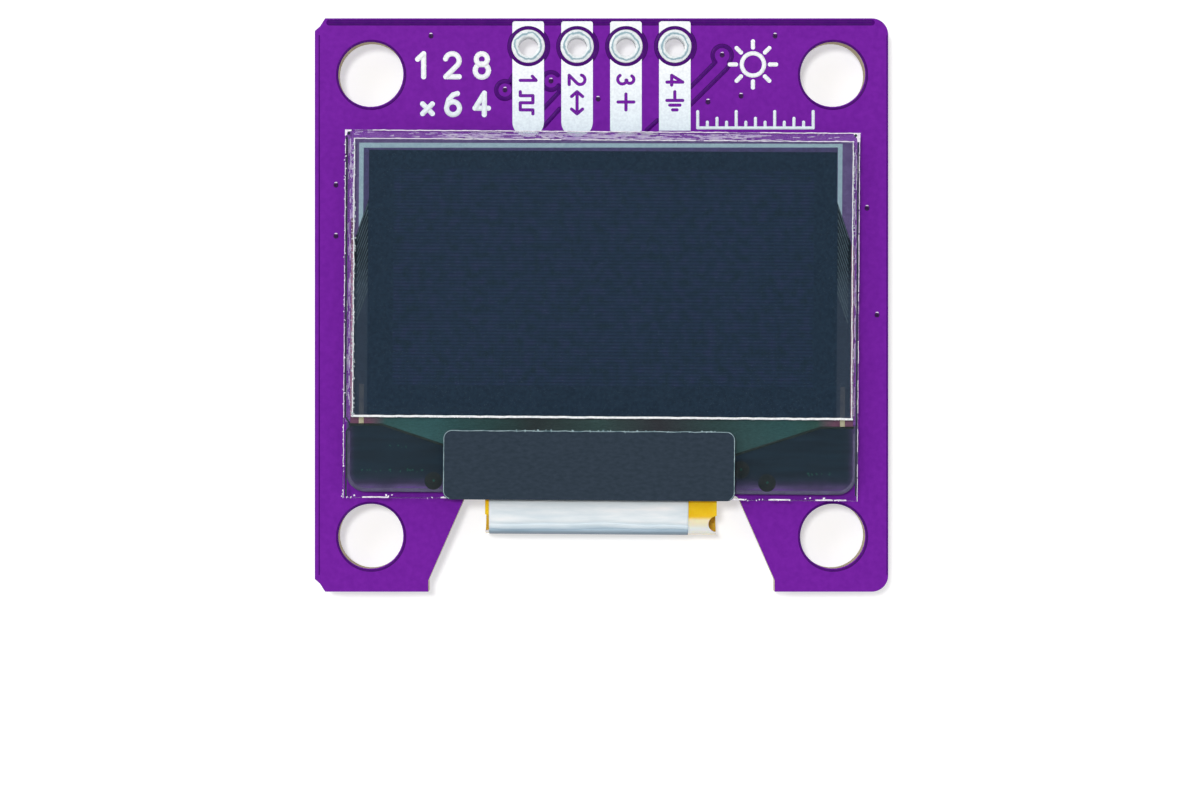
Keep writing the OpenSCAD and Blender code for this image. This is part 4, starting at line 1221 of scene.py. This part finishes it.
# Both top corners lost a flake when the sheet was snapped. Each left a white shell of
# fractured glass round a dark spot of painted shade.
FLAKES = [
    [(gu1 - 0.36, gv1), (gu1 - 0.33, gv1 - 0.1), (gu1 - 0.17, gv1 - 0.27),
     (gu1 - 0.14, gv1 - 0.47), (gu1, gv1 - 0.47), (gu1, gv1)],
    [(gu0, gv1), (gu0, gv1 - 0.32), (gu0 + 0.07, gv1 - 0.3), (gu0 + 0.13, gv1 - 0.1),
     (gu0 + 0.32, gv1 - 0.08), (gu0 + 0.34, gv1)]]
SPOTS = [(gu1 - 0.235, gv1 - 0.13), (gu0 + 0.21, gv1 - 0.19)]
for flake in FLAKES:
    edge_made.append(outward(prism("flake", panel_path(flake), GLASS_LINE_Z,
                                   GLASS_LINE_Z + 0.008, chipped)))
for u, v in SPOTS:
    edge_made.append(disc("flake_spot", u, v, 0.075, GLASS_LINE_Z, GLASS_LINE_Z + 0.009,
                          painted_edge_shade))
keep(join("glass_edges", edge_made), "display_glass")

# %% [markdown]
# ## The shading tape
#
# A dark adhesive tape with rounded corners covers the driver chip, which light would
# upset. It is matt, with a faint grain along its length. The thin pale line along its
# cut edge is a painted highlight.

# %% Shading tape
shield_tape, tree, shader = finish("dark adhesive tape", Roughness=0.5, IOR=1.46,
                                   Specular_IOR_Level=0.2)
tree.links.new(ramp(tree, speckle(tree, 0.16, 5, squash=(0.5, 1, 1)), [
    (0.3, "#28343f"), (0.7, "#313c49")]), shader.inputs["Base Color"])
roughen(tree, shader, speckle(tree, 0.2, 4, squash=(0.3, 1, 1)), 0.002)
tape_edge_highlight = two_tone("painted highlight on the tape's cut edge", "#5c777f", "#a5bcc2", 0.4, 3, places=(0.35, 0.65),
                     Roughness=0.4)
tu0, tv0, tu1, tv1 = panel_span("light_shield")
TAPE_LOW, TAPE_HIGH = box_mm("light_shield")[0].z, box_mm("light_shield")[1].z
TAPE_R = 0.42


def rounded(u0, v0, u1, v1, r, steps=10):
    return (arc(u1 - r, v1 - r, r, 0, 90, steps) + arc(u0 + r, v1 - r, r, 90, 180, steps)
            + arc(u0 + r, v0 + r, r, 180, 270, steps) + arc(u1 - r, v0 + r, r, 270, 360, steps))


shield_outline = panel_path(rounded(tu0, tv0, tu1, tv1, TAPE_R))
shield_made = prism("shading_tape", shield_outline, TAPE_LOW + CLEAR, TAPE_HIGH, shield_tape)
keep(soften(shield_made, 0.02), "shield_tape", "light_shield")

inset = 0.03
rim_u0, rim_u1, rim_v0, rim_v1 = tu0 + inset, tu1 - inset, tv0 + inset, tv1 - inset
loop = arc(rim_u0 + TAPE_R, rim_v0 + TAPE_R, TAPE_R, 250, 180, 8)
loop += arc(rim_u0 + TAPE_R, rim_v1 - TAPE_R, TAPE_R, 180, 90, 8)
loop += wander((rim_u0 + TAPE_R + 0.2, rim_v1), (rim_u1 - TAPE_R - 0.2, rim_v1), 0.35, 0.018, 31)
loop += arc(rim_u1 - TAPE_R, rim_v1 - TAPE_R, TAPE_R, 90, 0, 8)
loop += arc(rim_u1 - TAPE_R, rim_v0 + TAPE_R, TAPE_R, 0, -60, 8)
# The pale line and crumbs along the cut edge are a painted highlight.
tape_highlight_line = strips("tape_highlight_line", panel_paths([loop]), TAPE_HIGH - 0.002, 0.042, 0.006, tape_edge_highlight)
tape_highlight_crumbs = crumbs("tape_highlight_crumbs", [[(rim_u0 + 3.5, rim_v1 + 0.01), (rim_u1 - 1, rim_v1 + 0.01)]],
                     TAPE_HIGH - 0.002, 0.22, 0.05, 0.03, 0.6, 32, tape_edge_highlight, height=0.008)
keep(join("tape_edge_highlight", [tape_highlight_line, tape_highlight_crumbs]), "shield_tape")

# %% [markdown]
# ## The folded tail
#
# The flexible tail is polyimide, an amber film with copper inside. It leaves the glass
# under the chip, folds through the notch and comes back behind the board. A silvery
# tape is wrapped round the bend. A tape that goes round a bend of one millimetre never
# lies smooth: it buckles along a crease. The wrap is a sheet of stations along the bend
# by stations across, so that the crease is a small change of radius at one angle.

# %% Polyimide and silvery tape
polyimide, tree, shader = finish("polyimide film", Roughness=0.22, IOR=1.7)
amber = ramp(tree, speckle(tree, 0.7, 3), [(0.3, "#fabb10"), (0.7, "#ffce2c")])
# A cream band round the middle of the fold, set by height, is a painted highlight.
fold_highlight_height = spread(tree, own_coordinate(tree, "Z"), 1.2 * MM, 2.4 * MM)
pale = ramp(tree, fold_highlight_height, [(0.0, "#303030"), (0.25, "#f0f0f0"), (0.6, "#ffffff"),
                              (0.84, "#c8c8c8"), (0.9, "#000000")], smooth=True)
tree.links.new(blend(tree, pale, amber, linear("#fffdf4")), shader.inputs["Base Color"])
shader.inputs["Subsurface Weight"].default_value = 0.5
shader.inputs["Subsurface Radius"].default_value = (1.0, 0.6, 0.05)
shader.inputs["Subsurface Scale"].default_value = 0.3 * MM
roughen(tree, shader, speckle(tree, 0.5, 2), 0.004)
dress("flex_tail", polyimide)

silver_tape, tree, shader = finish("silvery wrapping tape", Roughness=0.42, IOR=1.46,
                                   Metallic=0.15)
streaky = ramp(tree, speckle(tree, 0.45, 4, squash=(0.18, 1, 1)), [
    (0.3, "#dde8ee"), (0.55, "#f0f6f9"), (0.75, "#ffffff")])
# The wrap is painted darker towards the bottom of the bend: painted shade, set by height.
bend_shade_height = spread(tree, own_coordinate(tree, "Z"), 1.4 * MM, 2.3 * MM)
painted_bend_shade = ramp(tree, bend_shade_height, [(0.0, "#66798a"), (0.28, "#8297a8"), (0.46, "#bccfdd"),
                             (0.7, "#eaf3f9"), (0.9, "#ffffff")])
tree.links.new(blend(tree, 1.0, painted_bend_shade, streaky, "MULTIPLY"), shader.inputs["Base Color"])
roughen(tree, shader, speckle(tree, 0.4, 3, squash=(0.15, 1, 1)), 0.008)

wu0, wv0, wu1, wv1 = panel_span("fold_tape")
wrap_low, wrap_high = box_mm("fold_tape")
BEND_R = (wrap_high.z - wrap_low.z) / 2
BEND_Z = (wrap_high.z + wrap_low.z) / 2
BEND_V = wv0 + BEND_R
WRAP_T = wrap_high.z - glass_low.z - 0.003
TOP_END = gv0 - 0.04
TOP_RUN, LOW_RUN = TOP_END - BEND_V, max(TOP_END, wv1) - BEND_V
print("bend radius:", round(BEND_R, 3), "mm, tape", round(WRAP_T, 3), "mm thick")


def crease(u, angle):
    """How far the wrap stands out at an angle round the bend, in millimetres."""
    t = (u - wu0) / (wu1 - wu0)
    line = 31 + 2.2 * math.sin(7.3 * t + 0.6) + 1.3 * math.sin(19 * t) + 5 * max(t - 0.62, 0)
    fold = -0.11 * math.exp(-((angle - line) / 2.6) ** 2)
    second = -0.085 * math.exp(-((angle - line - 19 - 3 * math.sin(5 * t)) / 2.6) ** 2)
    swell = 0.03 * math.exp(-((angle - line - 8) / 5.0) ** 2)
    ripple = 0.006 * math.sin(3.1 * u + 0.11 * angle) * math.exp(-((angle - 20) / 40) ** 2)
    return fold + second + swell + ripple


def wrap_point(u, s, lift):
    """s runs along the wrap: -1 to 0 on top, 0 to 1 round the bend, 1 to 2 below."""
    if s <= 0:
        v, z = BEND_V - s * TOP_RUN, BEND_Z + BEND_R + lift
    elif s >= 1:
        v, z = BEND_V + (s - 1) * LOW_RUN, BEND_Z - BEND_R - lift
    else:
        angle = s * 180
        r = BEND_R + lift + (crease(u, angle) if lift > -WRAP_T / 2 else 0)
        v = BEND_V - r * math.sin(math.radians(angle))
        z = BEND_Z + r * math.cos(math.radians(angle))
    x, y = on_panel(u, v)
    return x, y, z


stations = [-1, -0.5] + [k / 180 for k in range(0, 90)] + [k / 180 for k in range(90, 181, 6)]
stations += [1.5, 2]
across_n = 96
points, faces = [], []
for lift in (0.0, -WRAP_T):
    for i in range(across_n + 1):
        u = wu0 + (wu1 - wu0) * i / across_n
        points += [wrap_point(u, s, lift) for s in stations]
m = len(stations)
layer = (across_n + 1) * m
for i in range(across_n):
    for k in range(m - 1):
        a, b, c, d = i * m + k, (i + 1) * m + k, (i + 1) * m + k + 1, i * m + k + 1
        faces += [(a, b, c, d), (layer + d, layer + c, layer + b, layer + a)]
    for k in (0, m - 1):
        faces.append((i * m + k, (i + 1) * m + k, layer + (i + 1) * m + k, layer + i * m + k))
for i in (0, across_n):
    for k in range(m - 1):
        faces.append((i * m + k, i * m + k + 1, layer + i * m + k + 1, layer + i * m + k))
wrap = outward(new_mesh("fold_wrap", points, faces, silver_tape, smooth=True))
keep(wrap, "silver_tape", "fold_tape")

# %% [markdown]
# ## Everything behind the board
#
# The small parts are already solid. What they need is surface: matt moulded epoxy with
# a hair of sparkle, tin that is smooth and a little cloudy, the sugary tan of a ceramic
# chip, and solder that has wetted its pads.

# %% Finishes of the small parts
black_epoxy = two_tone("moulded epoxy", "#1b1c1f", "#2a2b2e", 0.1, 4, bump=(0.09, 3, 0.006),
                       Roughness=0.5, IOR=1.55)

tin_lead, tree, shader = finish("matt tin plating", Metallic=1.0)
tree.links.new(ramp(tree, speckle(tree, 0.15, 3), [(0.3, "#b4b8ba"), (0.7, "#dadddd")]),
               shader.inputs["Base Color"])
tree.links.new(spread(tree, speckle(tree, 0.2, 3), 0, 1, 0.28, 0.5), shader.inputs["Roughness"])

tan_ceramic = two_tone("fired ceramic", "#a3805a", "#c29d73", 0.1, 4, bump=(0.08, 3, 0.004),
                       Roughness=0.45, IOR=1.6)

resistor_black = two_tone("glass overcoat on a resistor", "#17181b", "#24262a", 0.12, 3,
                          bump=(0.15, 2, 0.005), Roughness=0.3, IOR=1.52)

copper_laid = two_tone("copper under amber film", "#b06a1c", "#cf8a2c", 0.4, 3, Roughness=0.3,
                       IOR=1.7, Metallic=0.6)

silicon = two_tone("bare silicon die", "#2b2e35", "#3b3f48", 0.3, 2, Roughness=0.25, Metallic=0.4)

white_tape = two_tone("double-sided foam tape", "#dfe0e2", "#f2f2f3", 0.3, 4, bump=(0.15, 3, 0.01),
                      Roughness=0.8)

drying_paper = two_tone("drying sheet", "#cfd2d0", "#e6e8e6", 0.3, 4, Roughness=0.8)

FINISH_OF = {"mounting_tape": white_tape, "drying_sheet": drying_paper, "driver_chip": silicon,
             "tail_conductors": copper_laid, "tail_solder": solder, "board_lands": tin_lead,
             "solder_fillets": solder, "regulator_body": black_epoxy, "regulator_leads": tin_lead,
             "diode_body": black_epoxy, "diode_leads": tin_lead}
for node in NODES:
    if node.startswith("shifter"):
        FINISH_OF[node] = black_epoxy if node.endswith("body") else tin_lead
    elif node.startswith("capacitor"):
        FINISH_OF[node] = tan_ceramic if node.endswith("body") else tin_lead
    elif node.startswith("resistor"):
        FINISH_OF[node] = resistor_black if node.endswith("body") else tin_lead
for node, material in FINISH_OF.items():
    dress(node, material)
print("finished solids:", len(FINISH_OF))

# %% [markdown]
# The back has ink and traces too: a thin outline printed round each part shows the
# assembler where it goes, and gaps in the copper part one net from the next.

# %% Outlines and traces on the back
CHIPS = [f"capacitor_{i}" for i in range(1, 8)] + [f"resistor_{i}" for i in range(1, 7)]
RING_NODES = [(chip + "_ends", chip + "_body") for chip in CHIPS]
RING_NODES += [(part + "_leads", part + "_body")
               for part in ("regulator", "diode", "shifter_1", "shifter_2")]
OUTLINE_GAP = 0.42
outlines = []
for pair in RING_NODES:
    lows, highs = zip(*[box_mm(node) for node in pair])
    x0, y0 = min(p.x for p in lows) - OUTLINE_GAP, min(p.y for p in lows) - OUTLINE_GAP
    x1, y1 = max(p.x for p in highs) + OUTLINE_GAP, max(p.y for p in highs) + OUTLINE_GAP
    outlines.append(rectangle(x0, y0, x1, y1))
back_ink = strips("back_outlines", outlines, -INK_H, 0.12, INK_H, ink, closed=True)
keep(back_ink, "white_ink")

back_gaps = [
    gap("back_edge_gap", [[(left + 0.4, bottom + 0.9), (left + 0.4, top - 0.5),
                           (right - 0.4, top - 0.5), (right - 0.4, bottom + 0.9)]],
        0.14, z=-GAP_H),
    gap("back_mount_rings", mount_rings(1.8, 60), 0.16, True, z=-GAP_H),
    gap("back_pad_rings", [arc(x, PIN_Y, 1.0, 0, 352, 50) for x in PIN_X], 0.18, True, z=-GAP_H),
]
keep(join("back_gaps", back_gaps), "board_mask")

# %% [markdown]
# ## Floor, light and camera
#
# The floor is pale and lies where the part's lowest solder joints touch it. To any
# lamp it is a plain diffuse sheet. To the camera, and in reflections, it also glows a
# little, so that where it is fully lit it shows white and only the part's shadow is
# left on it. From below it can't be seen at all. The world is white to the camera. To
# the part it is a soft room: bright near the horizon and dark overhead, so that the
# flat glass, seen straight on, keeps its own deep colour.

# %% Floor
floor_paper, tree, shader = finish("white paper sweep", Roughness=0.9)
tree.links.new(ramp(tree, speckle(tree, 6, 2), [(0.3, "#d8d8d8"), (0.7, "#dcdcdc")]),
               shader.inputs["Base Color"])
path_kind = add(tree, "ShaderNodeLightPath").outputs
seen = maths(tree, "MINIMUM", maths(tree, "ADD", maths(
    tree, "ADD", path_kind["Is Camera Ray"], path_kind["Is Glossy Ray"]),
    path_kind["Is Transmission Ray"]), 1.0)
FLOOR_GLOW = 0.47
glow = add(tree, "ShaderNodeEmission", {
    "Color": (1, 1, 1, 1), "Strength": maths(tree, "MULTIPLY", seen, FLOOR_GLOW)})
total = add(tree, "ShaderNodeAddShader", {0: shader.outputs[0], 1: glow.outputs[0]})
one_sided = add(tree, "ShaderNodeMixShader", {
    0: add(tree, "ShaderNodeNewGeometry").outputs["Backfacing"], 1: total.outputs[0],
    2: add(tree, "ShaderNodeBsdfTransparent").outputs[0]})
tree.links.new(one_sided.outputs[0], tree.nodes["Material Output"].inputs["Surface"])
FLOOR_Z, REACH = cad_box[0][2] / MM - 0.01, 400
floor = new_mesh("floor", [(x, y, FLOOR_Z) for x, y in rectangle(-REACH, -REACH, REACH, REACH)],
                 [(0, 1, 2, 3)], floor_paper)
print("floor at", round(FLOOR_Z, 3), "mm")

# %% World
world = bpy.data.worlds.new("soft room")
bpy.context.scene.world = world
world.use_nodes = True
tree = world.node_tree
room = tree.nodes["Background"]
path_kind = add(tree, "ShaderNodeLightPath").outputs
up = add(tree, "ShaderNodeSeparateXYZ", {
    "Vector": add(tree, "ShaderNodeTexCoord").outputs["Generated"]}).outputs["Z"]
level_ray = spread(tree, up, 0.3, 0.6, 1.0, 0.0)
seen = maths(tree, "MAXIMUM", path_kind["Is Camera Ray"], maths(
    tree, "MULTIPLY", path_kind["Is Transmission Ray"], level_ray))
dome = ramp(tree, up, [(0.0, "#a8a8a8"), (0.45, "#dcdcdc"), (0.62, "#ffffff"),
                       (0.84, "#ffffff"), (0.91, "#55575a"), (1.0, "#2c2d30")])
tree.links.new(blend(tree, seen, dome, (1, 1, 1, 1)), room.inputs["Color"])
ROOM_LEVEL = 0.75
level = add(tree, "ShaderNodeMix", {"Factor": seen, 2: ROOM_LEVEL, 3: 1.0})
tree.links.new(level.outputs[0], room.inputs["Strength"])


# %% Lamps
def soft_lamp(name, place, aim, size_mm, watts):
    data = bpy.data.lights.new(name, "AREA")
    data.shape = "DISK"
    data.size = size_mm * MM
    data.energy = watts
    lamp = new_object(name, data)
    lamp.location = [c * MM for c in place]
    lamp.rotation_euler = (Vector(aim) - Vector(place)).to_track_quat("-Z", "Y").to_euler()
    return lamp


overhead = soft_lamp("overhead", (-50, 50, 500), (0, 0, 0), 60, 1.25)
overhead.visible_glossy = False
overhead.visible_transmission = False
soft_lamp("side", (-210, 160, 330), (0, 0, 0), 120, 0.2)

# %% Camera
camera_data = bpy.data.cameras.new("camera")
camera_data.lens = 115.46
camera_data.sensor_width = 36
camera_data.clip_start = 0.01
camera = new_object("camera", camera_data)
camera.location = (-0.078 * MM, -4.937 * MM, 201.6 * MM)
bpy.context.scene.camera = camera

scene = bpy.context.scene
scene.view_settings.view_transform = "Standard"
